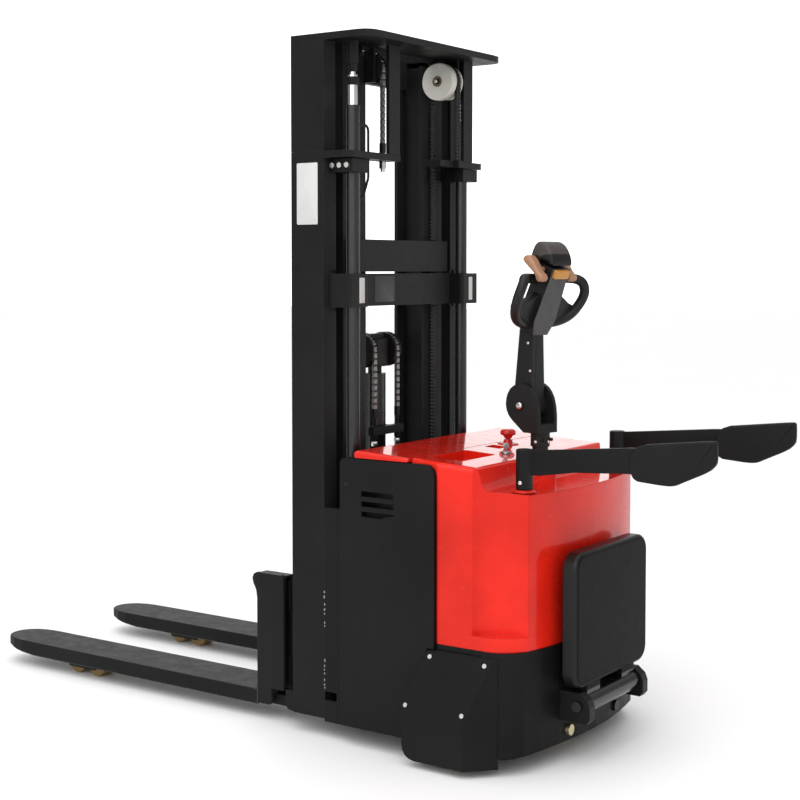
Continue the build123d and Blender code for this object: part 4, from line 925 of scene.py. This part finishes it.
hoop = tube_mesh(ring, lambda s_, a_: 0.0009, 8)
v, f = merged([bow, hoop])
new_mesh("key", v, f, KEYS, "chassis")

# ------------------------------------------------------------------- stage
me = bpy.data.meshes.new("floor")
R = 40.0
me.from_pydata([(-R, -R, 0), (R, -R, 0), (R, R, 0), (-R, R, 0)], [], [(0, 1, 2, 3)])
floor = bpy.data.objects.new("floor", me)
scene.collection.objects.link(floor)
k = Mat("floor")
c = k.mix(k.ramp(k.noise(0.7, 3.0), 0.3, 0.7), (0.930, 0.930, 0.930), (0.937, 0.937, 0.937))
k.link(c, k.b.inputs["Base Color"])
k.b.inputs["Roughness"].default_value = 0.6
k.b.inputs["Specular IOR Level"].default_value = 0.2
me.materials.append(k.done())

world = bpy.data.worlds.new("studio")
scene.world = world
world.use_nodes = True
wt = world.node_tree
bg = wt.nodes["Background"]
way = wt.nodes.new("ShaderNodeTexCoord").outputs["Generated"]


def w_dot(d):
    n = wt.nodes.new("ShaderNodeVectorMath")
    n.operation = "DOT_PRODUCT"
    wt.links.new(way, n.inputs[0])
    n.inputs[1].default_value = Vector(d).normalized()
    return n.outputs["Value"]


def w_soft(value, a, b, lo, hi):
    n = wt.nodes.new("ShaderNodeMapRange")
    n.interpolation_type = "SMOOTHSTEP"
    for key, x in (("From Min", a), ("From Max", b), ("To Min", lo), ("To Max", hi)):
        n.inputs[key].default_value = x
    wt.links.new(value, n.inputs["Value"])
    return n.outputs["Result"]


def w_math(op, a, b):
    n = wt.nodes.new("ShaderNodeMath")
    n.operation = op
    wt.links.new(a, n.inputs[0])
    wt.links.new(b, n.inputs[1])
    return n.outputs[0]


up = w_dot((0, 0, 1))
sky = w_math("MULTIPLY", w_soft(up, 0.0, 1.0, 0.50, 1.05), w_soft(w_dot((-0.8, -0.6, 0.0)), 0.0, 0.8, 1.0, 0.62))
window = w_soft(w_dot((-0.25, 0.87, 0.42)), 0.5, 0.95, 0.0, 1.15)
wall = w_math("MULTIPLY", w_soft(w_dot((0.572, -0.82, 0.0)), 0.70, 0.90, 0.0, 0.85),
              w_math("MULTIPLY", w_soft(up, -0.2, 0.02, 0.0, 1.0), w_soft(up, 0.17, 0.28, 1.0, 0.25)))
rim_light = w_soft(up, 0.06, 0.16, 0.95, 0.0)
wt.links.new(w_math("ADD", w_math("MAXIMUM", sky, rim_light), w_math("ADD", window, wall)), bg.inputs["Strength"])
bg.inputs["Color"].default_value = (1, 1, 1, 1)


def area(name, loc, target, size, power, size_y=None):
    d = bpy.data.lights.new(name, "AREA")
    d.energy = power
    d.size = size
    if size_y:
        d.shape = "RECTANGLE"
        d.size_y = size_y
    o = bpy.data.objects.new(name, d)
    scene.collection.objects.link(o)
    o.location = loc
    o.rotation_euler = (Vector(target) - Vector(loc)).to_track_quat("-Z", "Y").to_euler()
    return o


area("key", (-3.2, 4.2, 4.6), (-0.3, 0, 0.7), 2.6, 26)
area("top", (0.2, 0.5, 6.0), (0, 0, 0), 5.0, 90)
